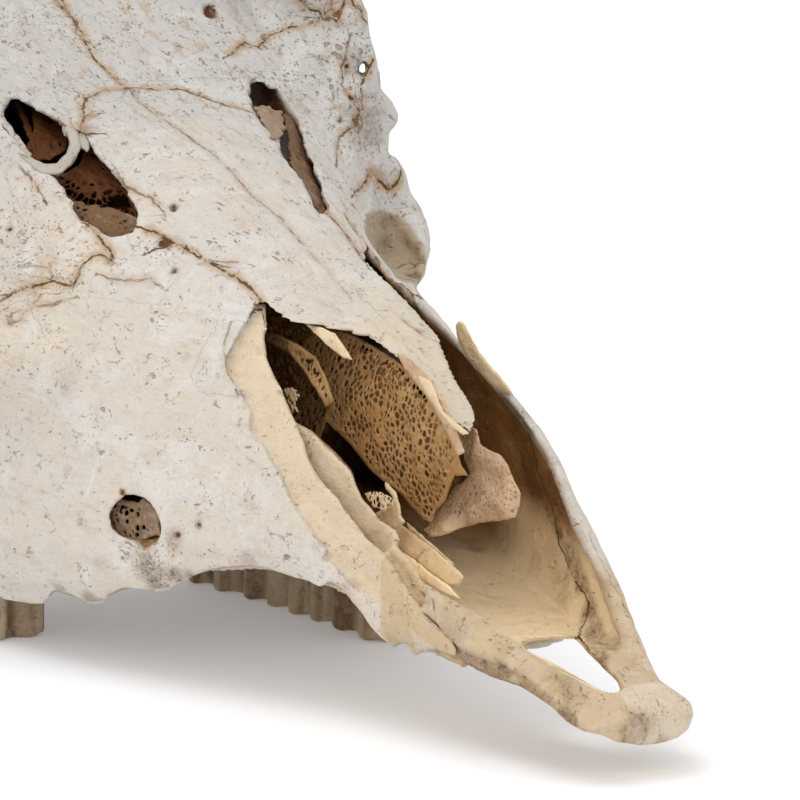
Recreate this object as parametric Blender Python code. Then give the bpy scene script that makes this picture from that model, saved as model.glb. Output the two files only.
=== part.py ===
# Reedbuck skull without its lower jaw, life size, resting on its cheek teeth and on the two
# processes under the back of the head; the muzzle tip stands a few millimetres above the floor.
# Metres, +Z up. The floor is z = 0, the nose points to -Y and the animal's left side is +X.
import math

import bmesh
import bpy
import numpy as np
from mathutils import Vector

MM = 0.001
GAP = 0.3

# The origin stands under the middle of the box round the whole skull.
ORIGIN_Y = 131.55

# Head sections from the muzzle tip backwards, all in millimetres:
# station, crown height, shoulder x z, side x z, lower edge x z, underside height.
HEAD_SECTIONS = (
    (0.5, 6.5, 6.5, 6.0, 10.0, 4.4, 7.5, 2.0, 1.2),
    (4.0, 9.5, 8.6, 8.8, 12.6, 5.4, 9.6, 1.6, 0.6),
    (12.0, 15.5, 10.5, 13.5, 15.0, 7.8, 12.0, 3.8, 2.2),
    (22.0, 24.0, 11.5, 21.0, 15.8, 12.5, 12.6, 7.2, 5.8),
    (35.0, 36.0, 13.0, 31.5, 16.8, 21.0, 14.0, 9.7, 9.0),
    (47.0, 44.0, 13.0, 41.0, 17.8, 27.0, 15.8, 11.5, 10.5),
    (60.0, 50.0, 14.0, 46.5, 19.6, 31.0, 18.6, 16.0, 14.0),
    (80.0, 58.5, 15.5, 54.0, 23.8, 35.0, 25.0, 16.5, 18.0),
    (95.0, 65.0, 16.5, 59.5, 27.5, 39.0, 30.0, 12.0, 19.0),
    (112.0, 72.0, 19.0, 66.0, 32.0, 44.0, 33.5, 7.0, 19.0),
    (130.0, 78.5, 23.0, 73.0, 39.0, 50.0, 35.5, 5.5, 19.5),
    (147.0, 83.5, 32.0, 79.5, 50.0, 56.0, 33.5, 6.5, 20.0),
    (160.0, 89.5, 40.0, 86.5, 51.5, 62.0, 31.0, 8.0, 21.0),
    (168.0, 93.5, 42.5, 90.0, 50.5, 64.0, 26.0, 14.0, 23.0),
    (177.0, 98.0, 42.5, 92.5, 48.5, 68.0, 19.0, 26.0, 27.0),
    (186.0, 101.5, 41.0, 93.0, 45.5, 71.0, 15.0, 30.0, 28.0),
    (196.0, 103.0, 34.0, 93.0, 36.0, 70.0, 15.0, 31.0, 28.0),
    (208.0, 101.5, 29.0, 90.5, 34.0, 66.0, 17.0, 30.0, 27.0),
    (221.0, 97.0, 26.0, 86.0, 35.0, 61.0, 21.0, 29.0, 26.0),
    (235.0, 88.0, 24.0, 78.0, 34.5, 55.0, 23.0, 27.0, 25.0),
    (247.0, 80.5, 22.0, 71.5, 31.5, 50.0, 20.0, 27.0, 26.0),
    (254.5, 73.0, 17.0, 65.0, 26.0, 47.0, 13.0, 31.0, 30.0),
)
HEAD_STEP = 5.0
# The teeth reach this far below the muzzle tip, so the skull stands this much higher.
TOOTH_DROP = 3.0
ARC_STEPS = 3

# Nose hollow: it follows the head sections, thinned by the walls.
WALL = 2.6
NOSE_HOLLOW_START = 8.0
NOSE_HOLLOW_END = 116.0

# Nasal bones seen from above: distance from the tip of the muzzle and half width.
NASAL_OUTLINE = ((47.0, 2.2), (52.0, 4.2), (60.0, 7.5), (70.0, 10.4), (80.0, 12.6), (92.0, 15.0),
                 (108.0, 16.5), (122.0, 17.2), (134.0, 16.0), (142.0, 13.5), (147.0, 8.0), (148.0, 2.0))
NASAL_DEPTH = 9.0

# Upper edges of the side walls seen from the side, from the nasal bones to the muzzle tip.
LEFT_WALL_EDGE = ((82.5, 60.0), (80.0, 57.0), (73.0, 54.4), (57.0, 44.5), (46.0, 37.0), (37.0, 27.4),
                  (28.0, 18.5), (21.0, 11.0), (14.0, 8.4), (5.0, 9.0))
RIGHT_WALL_EDGE = ((82.5, 60.0), (81.5, 53.0), (78.5, 47.0), (72.5, 41.5), (62.0, 37.5), (54.0, 32.0),
                   (44.0, 26.0), (32.0, 14.5), (24.0, 11.0), (14.0, 8.4), (5.0, 9.0))

# Eye sockets.
ORBIT_CENTRE = (50.0, 171.0, 70.5)
ORBIT_HALF_LENGTH = 17.5
ORBIT_HALF_HEIGHT = 17.5
RIM_THICKNESS = 4.6
RIM_SEGMENTS = 28
RIM_SIDES = 8
SOCKET_DEPTH = 31.0

# Masses beside the plain head sections, on the left side: centre lines with their radii, and egg shapes.
ARCH_LINE = ((34.0, 116.0, 44.0), (44.0, 132.0, 48.0), (52.0, 145.0, 51.0), (54.5, 165.0, 48.5),
             (54.0, 188.0, 50.0), (50.0, 206.0, 53.0), (40.0, 222.0, 55.0), (28.0, 232.0, 54.0))
ARCH_RADII = (4.0, 8.0, 8.5, 7.5, 6.5, 6.0, 7.0, 7.0)
JUGULAR_LINE = ((24.0, 243.0, 42.0), (25.0, 244.0, 22.0), (24.5, 245.0, -6.0))
JUGULAR_RADII = (10.0, 7.5, 4.6)
WING_LINE = ((13.0, 152.0, 25.0), (12.5, 172.0, 23.0), (13.0, 190.0, 27.0))
WING_RADII = (4.0, 4.5, 3.0)
NAPE_LINE = ((-31.0, 242.0, 58.0), (-19.0, 248.5, 72.0), (0.0, 251.0, 79.5), (19.0, 248.5, 72.0),
             (31.0, 242.0, 58.0))
NAPE_RADII = (3.4, 4.0, 4.6, 4.0, 3.4)
HORN_BASE_START = ((22.0, 184.0, 84.0), (23.0, 190.0, 95.0))
HORN_BASE_RADII = (19.0, 18.5, 18.5)
BULLA_CENTRE = (21.0, 224.0, 25.0)
BULLA_RADII = (8.0, 12.0, 9.0)
CONDYLE_CENTRE = (12.0, 255.0, 34.0)
CONDYLE_RADII = (8.5, 8.0, 9.5)

# Hollows and holes on the left side: centre lines with their radii.
TEMPLE_LINE = ((45.0, 193.5, 30.0), (45.0, 194.5, 52.0), (45.0, 195.5, 74.0), (44.0, 198.0, 90.0))
TEMPLE_RADII = (9.0, 9.0, 8.0, 5.0)
VACUITY_LINE = ((18.0, 107.0, 63.5), (20.5, 116.0, 67.0), (23.0, 130.0, 72.5), (25.5, 142.0, 78.5),
                (27.0, 150.0, 81.5))
VACUITY_RADII = (1.5, 5.0, 6.0, 5.0, 1.5)
CHEEK_HOLE_LINE = ((38.0, 84.0, 19.5), (30.0, 94.0, 23.5), (24.0, 108.0, 28.0))
CHEEK_HOLE_RADII = (3.8, 3.2, 2.0)
BROW_HOLE_LINE = ((29.0, 169.0, 100.0), (27.0, 171.0, 90.0), (26.0, 173.0, 84.0))
BROW_HOLE_RADII = (2.4, 2.2, 1.6)
SPINAL_HOLE_LINE = ((0.0, 242.0, 38.0), (0.0, 252.0, 39.0), (0.0, 275.0, 40.0))
SPINAL_HOLE_RADII = (7.0, 9.0, 9.5)
FLOOR_CUTTER = ((-80.0, -30.0), (80.0, -30.0), (80.0, 290.0), (-80.0, 290.0))

# Cheek teeth: name, first and last distance from the muzzle tip, width across.
TEETH = (("third_premolar", 103.0, 110.8, 9.5), ("fourth_premolar", 111.2, 119.8, 11.5),
         ("first_molar", 120.2, 133.2, 12.5), ("second_molar", 133.6, 148.0, 13.0),
         ("third_molar", 148.4, 164.5, 12.5))
LEFT_TEETH = ("third_premolar", "fourth_premolar", "first_molar", "second_molar", "third_molar")
RIGHT_TEETH = ("second_molar", "third_molar")
TOOTH_ROOT = 15.0
TOOTH_SIDES = 10
# The tooth row seen from above: distance from the muzzle tip and distance from the middle.
TOOTH_ROW_Y = (100.0, 118.0, 145.0, 165.0)
TOOTH_ROW_X = (24.0, 27.5, 29.0, 27.0)

# Horn sheath: centre line and radius from base to tip.
HORN_LINE = ((24.0, 193.0, 100.0), (31.0, 212.0, 130.0), (40.0, 232.0, 163.0), (51.0, 246.0, 197.0),
             (61.0, 250.0, 229.0), (67.0, 239.0, 260.0), (69.0, 216.0, 283.0))
HORN_RADII = (19.5, 18.5, 16.5, 14.0, 11.0, 7.0, 1.6)
HORN_SIDES = 14
HORN_RINGS = 13
HORN_TIP_STATIONS = 14
RING_HEIGHT = 0.045
# Room that is cleared round and above a horn's base.
HORN_SEAT_MARGIN = 3.0
HORN_SEAT_LENGTH = 14.0

# Voxel size that fuses the head, and the triangles kept after it.
FUSE_VOXEL = 1.4
HEAD_TRIANGLES = 4300

# The opening in the front of the palate, seen from above.
PALATE_GAP = ((-5.0, 18.5), (0.0, 17.0), (5.0, 18.5), (9.0, 30.0), (10.5, 44.0), (-10.5, 44.0), (-9.0, 30.0))

# Outlines of the bones seen from the side: distance from the muzzle tip and height.
LEFT_PREMAXILLA = ((-15.0, -10.0), (40.0, -10.0), (42.0, 14.0), (58.0, 36.0), (76.0, 53.5), (76.0, 70.0),
                   (-15.0, 70.0))
RIGHT_PREMAXILLA = ((-15.0, -10.0), (40.0, -10.0), (36.0, 13.0), (32.0, 30.0), (30.0, 70.0), (-15.0, 70.0))
FRONTAL_SIDE = ((131.0, 77.0), (148.0, 85.0), (156.0, 80.0), (164.0, 74.0), (196.0, 70.0), (205.0, 76.0),
                (207.0, 125.0), (131.0, 125.0))
LACRIMAL_SIDE = ((104.0, 62.0), (115.0, 58.0), (130.0, 54.5), (139.0, 52.5), (150.0, 56.0), (160.0, 66.0),
                 (166.0, 74.0), (156.0, 80.5), (148.0, 90.0), (104.0, 90.0))
ZYGOMATIC_SIDE = ((126.0, 44.0), (136.0, 38.0), (150.0, 34.0), (196.0, 38.0), (190.0, 56.0), (196.0, 60.0),
                  (196.0, 75.0), (166.0, 75.0), (160.0, 66.0), (150.0, 56.0), (139.0, 52.5))
TEMPORAL_SIDE = ((186.0, 36.0), (238.0, 34.0), (238.0, 70.0), (222.0, 78.0), (205.0, 74.0), (186.0, 70.0))
OCCIPITAL_SIDE = ((238.0, -10.0), (275.0, -10.0), (275.0, 110.0), (244.0, 110.0), (238.0, 84.0))
PARIETAL_SIDE = ((204.0, 60.0), (250.0, 60.0), (250.0, 120.0), (204.0, 120.0))
MAXILLA_SIDE = ((-10.0, -10.0), (167.0, -10.0), (167.0, 28.0), (158.0, 40.0), (160.0, 46.0), (160.0, 100.0),
                (-10.0, 100.0))
HALF_SIDE = ((-20.0, -20.0), (290.0, -20.0), (290.0, 140.0), (-20.0, 140.0))

# Inner bones of the nose.
TURBINATE_LINE = ((8.0, 106.0, 47.0), (8.2, 94.0, 45.0), (8.0, 80.0, 40.5), (7.5, 66.0, 35.5))
TURBINATE_RADII = (6.5, 7.5, 8.0, 7.0, 3.5)
TURBINATE_ROOT = (8.0, 47.0)
VOMER_OUTLINE = ((95.0, 38.0), (70.0, 32.0), (58.0, 38.0), (40.0, 37.0), (34.5, 33.0), (37.0, 28.0), (58.0, 24.5),
                 (90.0, 23.5))
VOMER_ROOT_HEIGHTS = (24.0, 56.0)
VOMER_HALF_WIDTH = 1.1

BONE = (0.80, 0.76, 0.68, 1.0)
INNER_BONE = (0.42, 0.27, 0.13, 1.0)
HORN = (0.09, 0.065, 0.05, 1.0)


def clear_scene():
    """Remove whatever the start-up scene holds."""
    for thing in list(bpy.data.objects):
        bpy.data.objects.remove(thing, do_unlink=True)


def place(point):
    """Turn millimetres from the muzzle tip into the model's own metres."""
    x, y, z = point
    return (x * MM, (y - ORIGIN_Y) * MM, (z + TOOTH_DROP) * MM)


def finish(name, colour, roughness):
    """Make a plain principled material."""
    made = bpy.data.materials.new(name)
    made.use_nodes = True
    shader = made.node_tree.nodes["Principled BSDF"]
    shader.inputs["Base Color"].default_value = colour
    shader.inputs["Roughness"].default_value = roughness
    shader.inputs["Metallic"].default_value = 0.0
    return made


def solid(name, points, faces):
    """Make a closed mesh object whose faces point outwards."""
    mesh = bpy.data.meshes.new(name)
    mesh.from_pydata([place(point) for point in points], [], faces)
    form = bmesh.new()
    form.from_mesh(mesh)
    bmesh.ops.triangulate(form, faces=form.faces)
    bmesh.ops.recalc_face_normals(form, faces=form.faces)
    if form.calc_volume(signed=True) < 0.0:
        bmesh.ops.reverse_faces(form, faces=form.faces)
    form.to_mesh(mesh)
    form.free()
    made = bpy.data.objects.new(name, mesh)
    bpy.context.collection.objects.link(made)
    return made


def smooth_rows(rows, stations):
    """Interpolate every column of a table smoothly at the given stations."""
    table = np.array(rows, dtype=float)
    along = table[:, 0]
    slopes = np.gradient(table, along, axis=0)
    result = []
    for station in stations:
        index = int(np.clip(np.searchsorted(along, station) - 1, 0, len(along) - 2))
        span = along[index + 1] - along[index]
        t = (station - along[index]) / span
        low, high = table[index], table[index + 1]
        rise, fall = slopes[index] * span, slopes[index + 1] * span
        result.append((2 * t ** 3 - 3 * t ** 2 + 1) * low + (t ** 3 - 2 * t ** 2 + t) * rise
                      + (3 * t ** 2 - 2 * t ** 3) * high + (t ** 3 - t ** 2) * fall)
    return result


def closed_curve(keys, steps):
    """Pass a smooth closed curve through key points."""
    count = len(keys)
    keys = [Vector(key) for key in keys]
    points = []
    for index in range(count):
        before, start, end, after = (keys[(index + shift) % count] for shift in (-1, 0, 1, 2))
        for step in range(steps):
            t = step / steps
            points.append(0.5 * (2 * start + (end - before) * t
                                 + (2 * before - 5 * start + 4 * end - after) * t ** 2
                                 + (3 * start - before - 3 * end + after) * t ** 3))
    return points


def head_ring(row, wall=0.0):
    """Give one closed ring of the head, moved inwards by a wall thickness."""
    y, crown, xs, zs, xm, zm, xb, zb, under = row
    half = [(xs - wall, zs - wall), (xm - wall, zm), (xb - wall, zb + wall)]
    keys = [(0.0, crown - wall)] + half + [(0.0, under + wall)]
    keys += [(-x, z) for x, z in reversed(half)]
    return [(point[0], y, point[1]) for point in closed_curve(keys, ARC_STEPS)]


def loft(name, rings):
    """Skin a row of closed rings and cap both ends."""
    size = len(rings[0])
    points = [point for ring in rings for point in ring]
    faces = [tuple(range(size)), tuple((len(rings) - 1) * size + step for step in range(size))]
    for row in range(len(rings) - 1):
        for step in range(size):
            near = row * size + step
            side = row * size + (step + 1) % size
            faces.append((near, side, side + size, near + size))
    return solid(name, points, faces)


def head_loft(name, first, last, wall=0.0):
    """Loft the head sections between two stations."""
    count = int((last - first) / HEAD_STEP) + 1
    rows = smooth_rows(HEAD_SECTIONS, np.linspace(first, last, count))
    return loft(name, [head_ring(row, wall) for row in rows])


def tube(name, line, radii, sides=10, flatten=1.0, rings=4):
    """Sweep an ellipse along a smooth line; flatten is its width across X."""
    knots = [(index, *point, radius) for index, (point, radius) in enumerate(zip(line, radii))]
    rows = smooth_rows(knots, np.linspace(0, len(line) - 1, (len(line) - 1) * rings + 1))
    centres = [Vector(row[1:4]) for row in rows]
    loops = []
    for index, row in enumerate(rows):
        ahead = centres[min(index + 1, len(rows) - 1)] - centres[max(index - 1, 0)]
        ahead.normalize()
        across = Vector((1.0, 0.0, 0.0))
        across = (across - ahead * across.dot(ahead)).normalized()
        upward = ahead.cross(across)
        loop = []
        for step in range(sides):
            angle = math.tau * step / sides
            offset = across * math.cos(angle) * flatten + upward * math.sin(angle)
            loop.append(tuple(centres[index] + offset * row[4]))
        loops.append(loop)
    return loft(name, loops)


def ellipsoid(name, centre, radii, detail=2):
    """Make an egg shape from a subdivided ball."""
    form = bmesh.new()
    bmesh.ops.create_icosphere(form, subdivisions=detail, radius=1.0)
    points = [tuple(centre[axis] + vert.co[axis] * radii[axis] for axis in range(3)) for vert in form.verts]
    faces = [tuple(vert.index for vert in face.verts) for face in form.faces]
    form.free()
    return solid(name, points, faces)


def grown(outline, amount):
    """Move every edge of a plane outline outwards."""
    count = len(outline)
    area = sum(outline[i][0] * outline[(i + 1) % count][1] - outline[(i + 1) % count][0] * outline[i][1]
               for i in range(count))
    turn = 1.0 if area > 0.0 else -1.0
    moved = []
    for index in range(count):
        before, here, after = (Vector(outline[(index + shift) % count]) for shift in (-1, 0, 1))
        first = (here - before).normalized()
        second = (after - here).normalized()
        normal = Vector((first.y + second.y, -first.x - second.x)) * turn
        reach = max(normal.length_squared / 2.0, 0.35)
        moved.append(tuple(here + normal * (amount / reach)))
    return moved


def prism(name, outline, axis, low, high, grow=0.0):
    """Extrude a plane outline along X, Y or Z; the outline holds the two other axes in order."""
    if grow:
        outline = grown(outline, grow)
        low, high = low - grow, high + grow
    count = len(outline)
    points = []
    for depth in (low, high):
        for first, second in outline:
            point = [first, second]
            point.insert(axis, depth)
            points.append(tuple(point))
    faces = [tuple(range(count)), tuple(range(count, 2 * count))]
    for index in range(count):
        side = (index + 1) % count
        faces.append((index, side, side + count, index + count))
    return solid(name, points, faces)


def combine(target, tools, operation):
    """Join, cut or intersect one form with others, then drop those others."""
    group = bpy.data.collections.new("tools")
    bpy.context.scene.collection.children.link(group)
    for tool in tools:
        group.objects.link(tool)
    change = target.modifiers.new("combine", "BOOLEAN")
    change.operation = operation
    change.operand_type = "COLLECTION"
    change.collection = group
    change.solver = "EXACT"
    apply_changes(target)
    for tool in tools:
        bpy.data.objects.remove(tool, do_unlink=True)
    bpy.data.collections.remove(group)
    return target


def apply_changes(target):
    """Turn the evaluated shape into the object's own mesh."""
    graph = bpy.context.evaluated_depsgraph_get()
    shaped = bpy.data.meshes.new_from_object(target.evaluated_get(graph))
    target.modifiers.clear()
    target.data = shaped
    return target


def keep_largest(target):
    """Keep only the largest closed surface of a mesh."""
    form = bmesh.new()
    form.from_mesh(target.data)
    waiting = set(form.faces)
    shells = []
    while waiting:
        front = [waiting.pop()]
        shell = list(front)
        while front:
            face = front.pop()
            for edge in face.edges:
                for other in edge.link_faces:
                    if other in waiting:
                        waiting.remove(other)
                        front.append(other)
                        shell.append(other)
        shells.append(shell)
    shells.sort(key=lambda shell: sum(face.calc_area() for face in shell))
    bmesh.ops.delete(form, geom=[face for shell in shells[:-1] for face in shell], context="FACES")
    form.to_mesh(target.data)
    form.free()
    return target


def duplicate(source, name):
    """Copy a form with its own mesh."""
    made = bpy.data.objects.new(name, source.data.copy())
    bpy.context.collection.objects.link(made)
    return made


def mirrored(points, side):
    """Flip points to the right side where side is -1."""
    return tuple((side * x, y, z) for x, y, z in points)


def hoop(name, side):
    """Make the rim of one eye socket as a closed ring."""
    x0, y0, z0 = ORBIT_CENTRE
    reach_y = ORBIT_HALF_LENGTH + 0.55 * RIM_THICKNESS
    reach_z = ORBIT_HALF_HEIGHT + 0.55 * RIM_THICKNESS
    sides = RIM_SIDES
    points = []
    for turn in range(RIM_SEGMENTS):
        angle = math.tau * turn / RIM_SEGMENTS
        out_y, out_z = -math.cos(angle), math.sin(angle)
        centre_x = x0 + 1.5 + 1.0 * math.cos(angle) - 3.5 * math.sin(angle)
        for step in range(sides):
            around = math.tau * step / sides
            swell = RIM_THICKNESS * math.cos(around)
            points.append((side * (centre_x + 0.8 * RIM_THICKNESS * math.sin(around)),
                           y0 + out_y * (reach_y + swell), z0 + out_z * (reach_z + swell)))
    faces = []
    for turn in range(RIM_SEGMENTS):
        for step in range(sides):
            here = turn * sides
            ahead = ((turn + 1) % RIM_SEGMENTS) * sides
            beside = (step + 1) % sides
            faces.append((here + step, here + beside, ahead + beside, ahead + step))
    return solid(name, points, faces)


def head_additions():
    """Make the masses that the plain head sections don't hold."""
    forms = []
    for side in (-1, 1):
        forms.append(hoop("rim", side))
        forms.append(tube("arch", mirrored(ARCH_LINE, side), ARCH_RADII, flatten=0.7))
        forms.append(tube("horn_base", mirrored(HORN_BASE_START + HORN_LINE[:1], side), HORN_BASE_RADII,
                          sides=16))
        forms.append(ellipsoid("bulla", mirrored((BULLA_CENTRE,), side)[0], BULLA_RADII))
        forms.append(ellipsoid("condyle", mirrored((CONDYLE_CENTRE,), side)[0], CONDYLE_RADII))
        forms.append(tube("jugular", mirrored(JUGULAR_LINE, side), JUGULAR_RADII, flatten=0.6))
        forms.append(tube("wing", mirrored(WING_LINE, side), WING_RADII, flatten=0.5))
    forms.append(tube("nape", NAPE_LINE, NAPE_RADII))
    return forms


def smooth_head():
    """Fuse the head with its additions and round them into one another."""
    head = head_loft("head", HEAD_SECTIONS[0][0], HEAD_SECTIONS[-1][0])
    combine(head, head_additions(), "UNION")
    shrink = head.modifiers.new("fuse", "REMESH")
    shrink.mode = "VOXEL"
    shrink.voxel_size = FUSE_VOXEL * MM
    relax = head.modifiers.new("relax", "SMOOTH")
    relax.iterations = 6
    relax.factor = 0.6
    apply_changes(head)
    thin = head.modifiers.new("thin", "DECIMATE")
    thin.ratio = HEAD_TRIANGLES / sum(len(face.vertices) - 2 for face in head.data.polygons)
    thin.use_collapse_triangulate = True
    apply_changes(head)
    return keep_largest(head)


def openings():
    """Make the cutters for sockets, hollows and holes."""
    cutters = [head_loft("nose_hollow", NOSE_HOLLOW_START, NOSE_HOLLOW_END, WALL)]
    cutters.append(prism("palate_gap", PALATE_GAP, 2, -12.0, 26.0))
    cutters.append(prism("floor", FLOOR_CUTTER, 2, -30.0, -TOOTH_DROP))
    cutters.append(tube("spinal_hole", SPINAL_HOLE_LINE, SPINAL_HOLE_RADII, sides=12))
    for side in (-1, 1):
        x0, y0, z0 = ORBIT_CENTRE
        cutters.append(horn_seat(side))
        cutters.append(ellipsoid("socket", (side * (x0 + 4.0), y0, z0),
                                 (SOCKET_DEPTH, ORBIT_HALF_LENGTH, ORBIT_HALF_HEIGHT), detail=3))
        cutters.append(tube("temple", mirrored(TEMPLE_LINE, side), TEMPLE_RADII, flatten=0.9))
        cutters.append(tube("vacuity", mirrored(VACUITY_LINE, side), VACUITY_RADII))
        cutters.append(tube("cheek_hole", mirrored(CHEEK_HOLE_LINE, side), CHEEK_HOLE_RADII))
        cutters.append(tube("brow_hole", mirrored(BROW_HOLE_LINE, side), BROW_HOLE_RADII))
    return cutters


def region(name, side_view, top_view=None, low=-70.0, high=70.0, grow=0.0):
    """Make a cutting form from an outline seen from the side and, where given, one from above."""
    form = prism(name, side_view, 0, low, high, grow)
    if top_view:
        combine(form, [prism(name, top_view, 2, -20.0, 140.0, grow)], "INTERSECT")
    return form


def carve(head, name, side_view, top_view=None, low=-70.0, high=70.0):
    """Take one region out of the head and leave a thin gap round it."""
    piece = duplicate(head, name)
    combine(piece, [region("inner", side_view, top_view, low, high)], "INTERSECT")
    combine(head, [region("outer", side_view, top_view, low, high, GAP)], "DIFFERENCE")
    return piece


def halves(pair, name):
    """Part a pair of bones along the middle of the skull."""
    pieces = []
    for side, word in ((1, "left"), (-1, "right")):
        low, high = sorted((side * 0.5 * GAP, side * 80.0))
        piece = duplicate(pair, f"{name}_{word}")
        combine(piece, [prism("half", HALF_SIDE, 0, low, high)], "INTERSECT")
        pieces.append(keep_largest(piece))
    bpy.data.objects.remove(pair, do_unlink=True)
    return pieces


def half_outline(profile):
    """Turn a half-width profile into a closed outline seen from above."""
    return tuple((x, y) for y, x in profile) + tuple((-x, y) for y, x in reversed(profile))


def crown_heights(first, last, drop, count=9):
    """Give a line that runs below the crown of the head."""
    rows = smooth_rows(HEAD_SECTIONS, np.linspace(first, last, count))
    return [(row[0], row[1] - drop) for row in rows]


def parted_bones(head):
    """Part the head into the bones that a person would name."""
    bones = []
    nasal_side = crown_heights(40.0, 149.0, NASAL_DEPTH) + [(149.0, 130.0), (40.0, 130.0)]
    bones += halves(carve(head, "nasal", nasal_side, half_outline(NASAL_OUTLINE)), "nasal")
    for side, edge in ((1, LEFT_WALL_EDGE), (-1, RIGHT_WALL_EDGE)):
        low, high = sorted((0.0, side * 60.0))
        above = tuple(edge) + ((-12.0, 9.0), (-12.0, 90.0), (82.5, 90.0))
        combine(head, [prism("nostril", above, 0, low, high)], "DIFFERENCE")
    for side, word, outline in ((1, "left", LEFT_PREMAXILLA), (-1, "right", RIGHT_PREMAXILLA)):
        low, high = sorted((side * 0.5 * GAP, side * 60.0))
        bones.append(keep_largest(carve(head, f"premaxilla_{word}", outline, low=low, high=high)))
    bones += halves(carve(head, "frontal", FRONTAL_SIDE), "frontal")
    for name, outline, inner in (("lacrimal", LACRIMAL_SIDE, 12.0), ("zygomatic", ZYGOMATIC_SIDE, 30.0),
                                 ("temporal", TEMPORAL_SIDE, 21.0)):
        for side, word in ((1, "left"), (-1, "right")):
            low, high = sorted((side * inner, side * 70.0))
            bones.append(keep_largest(carve(head, f"{name}_{word}", outline, low=low, high=high)))
    bones.append(keep_largest(carve(head, "occipital", OCCIPITAL_SIDE)))
    bones.append(keep_largest(carve(head, "parietal", PARIETAL_SIDE)))
    maxillae = halves(carve(head, "maxilla", MAXILLA_SIDE), "maxilla")
    head.name = "skull_base"
    bones.append(keep_largest(head))
    return bones + maxillae


def tooth(name, side, first, last, width, height):
    """Make one cheek tooth with its lobes, flat where it bears on the floor."""
    lobes = 1 if last - first < 9.0 else 2
    lobe_length = (last - first) / lobes
    forms = []
    for lobe in range(lobes):
        centre_y = first + (lobe + 0.5) * lobe_length
        centre_x = side * np.interp(centre_y, TOOTH_ROW_Y, TOOTH_ROW_X)
        rings = []
        for z, swell in ((height, 0.93), (height + 5.0, 1.0), (TOOTH_ROOT, 0.96)):
            rings.append([(centre_x + 0.5 * width * swell * math.cos(math.tau * step / TOOTH_SIDES),
                           centre_y + 0.53 * lobe_length * swell * math.sin(math.tau * step / TOOTH_SIDES), z)
                          for step in range(TOOTH_SIDES)])
        forms.append(loft(f"{name}_{lobe}", rings))
    return forms


def add_teeth(maxilla, side, present):
    """Root the cheek teeth that are left in the upper jaw bone."""
    forms = []
    for name, first, last, width in TEETH:
        if name in present:
            forms += tooth(name, side, first, last, width, -TOOTH_DROP)
    combine(maxilla, forms, "UNION")
    return keep_largest(maxilla)


def turbinate(side, word):
    """Make one scroll bone as a long rounded body that grows from the back of the nose."""
    back = NOSE_HOLLOW_END - GAP
    x, z = TURBINATE_ROOT
    line = mirrored(((x, back, z),) + TURBINATE_LINE, side)
    return tube(f"turbinate_{word}", line, TURBINATE_RADII, flatten=0.62, rings=3)


def vomer():
    """Make the upright plate in the middle of the nose."""
    back = NOSE_HOLLOW_END - GAP
    low, high = VOMER_ROOT_HEIGHTS
    return prism("vomer", ((back, low), (back, high)) + VOMER_OUTLINE, 0, -VOMER_HALF_WIDTH, VOMER_HALF_WIDTH)


def horn_stations(side, count):
    """Give centres, cross axes and radii along one horn."""
    knots = [(index, *point, radius) for index, (point, radius) in enumerate(zip(HORN_LINE, HORN_RADII))]
    rows = smooth_rows(knots, np.linspace(0.0, len(HORN_LINE) - 1.0, count))
    centres = [Vector((side * row[1], row[2], row[3])) for row in rows]
    stations = []
    for index, row in enumerate(rows):
        ahead = (centres[min(index + 1, count - 1)] - centres[max(index - 1, 0)]).normalized()
        across = Vector((1.0, 0.0, 0.0))
        across = (across - ahead * across.dot(ahead)).normalized()
        stations.append((centres[index], ahead, across, ahead.cross(across), row[4]))
    return stations


def round_ring(centre, across, upward, radius, sides):
    """Give the points of a circle."""
    return [tuple(centre + (across * math.cos(math.tau * step / sides)
                            + upward * math.sin(math.tau * step / sides)) * radius) for step in range(sides)]


def horn(side, word):
    """Make one ringed horn sheath that stands on its bony base."""
    stations = horn_stations(side, HORN_RINGS * 2 + HORN_TIP_STATIONS)
    rings = []
    for index, (centre, ahead, across, upward, radius) in enumerate(stations):
        ridge = RING_HEIGHT if index % 2 and index < HORN_RINGS * 2 else 0.0
        lift = ahead * (GAP if index == 0 else 0.0)
        rings.append(round_ring(centre + lift, across, upward, radius * (1.0 + ridge), HORN_SIDES))
    return loft(f"horn_{word}", rings)


def horn_seat(side):
    """Make the cutter that clears the room in front of a horn's base."""
    centre, ahead, across, upward, radius = horn_stations(side, HORN_RINGS * 2 + HORN_TIP_STATIONS)[0]
    wide = radius + HORN_SEAT_MARGIN
    return loft("horn_seat", [round_ring(centre + ahead * lift, across, upward, wide, HORN_SIDES)
                              for lift in (0.0, HORN_SEAT_LENGTH)])


def build():
    """Build the whole skull."""
    clear_scene()
    head = smooth_head()
    combine(head, openings(), "DIFFERENCE")
    keep_largest(head)
    bones = parted_bones(head)
    for bone in bones:
        if bone.name == "maxilla_left":
            add_teeth(bone, 1, LEFT_TEETH)
        if bone.name == "maxilla_right":
            add_teeth(bone, -1, RIGHT_TEETH)
    inner = [turbinate(1, "left"), turbinate(-1, "right"), vomer()]
    horns = [horn(1, "left"), horn(-1, "right")]
    for pieces, word, colour, roughness in ((bones, "bone", BONE, 0.75), (inner, "inner_bone", INNER_BONE, 0.85),
                                            (horns, "horn", HORN, 0.55)):
        for piece in pieces:
            piece.data.materials.clear()
            piece.data.materials.append(finish(f"{word}_{piece.name}", colour, roughness))
            piece.data.shade_smooth()
            piece.data.set_sharp_from_angle(angle=math.radians(40.0))


build()
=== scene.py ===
"""Looks of a weathered reedbuck skull: its bones with their seams, the broken nose, teeth and horns.

Places are millimetres from the muzzle tip: x to the animal's left, y backwards, z up. to_metres() turns
them into the model's own frame. Pixel outlines are places in the square photograph, 800 pixels wide, as
PhotoView sees it. Distances to a form are negative inside it.
"""
from __future__ import annotations

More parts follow.
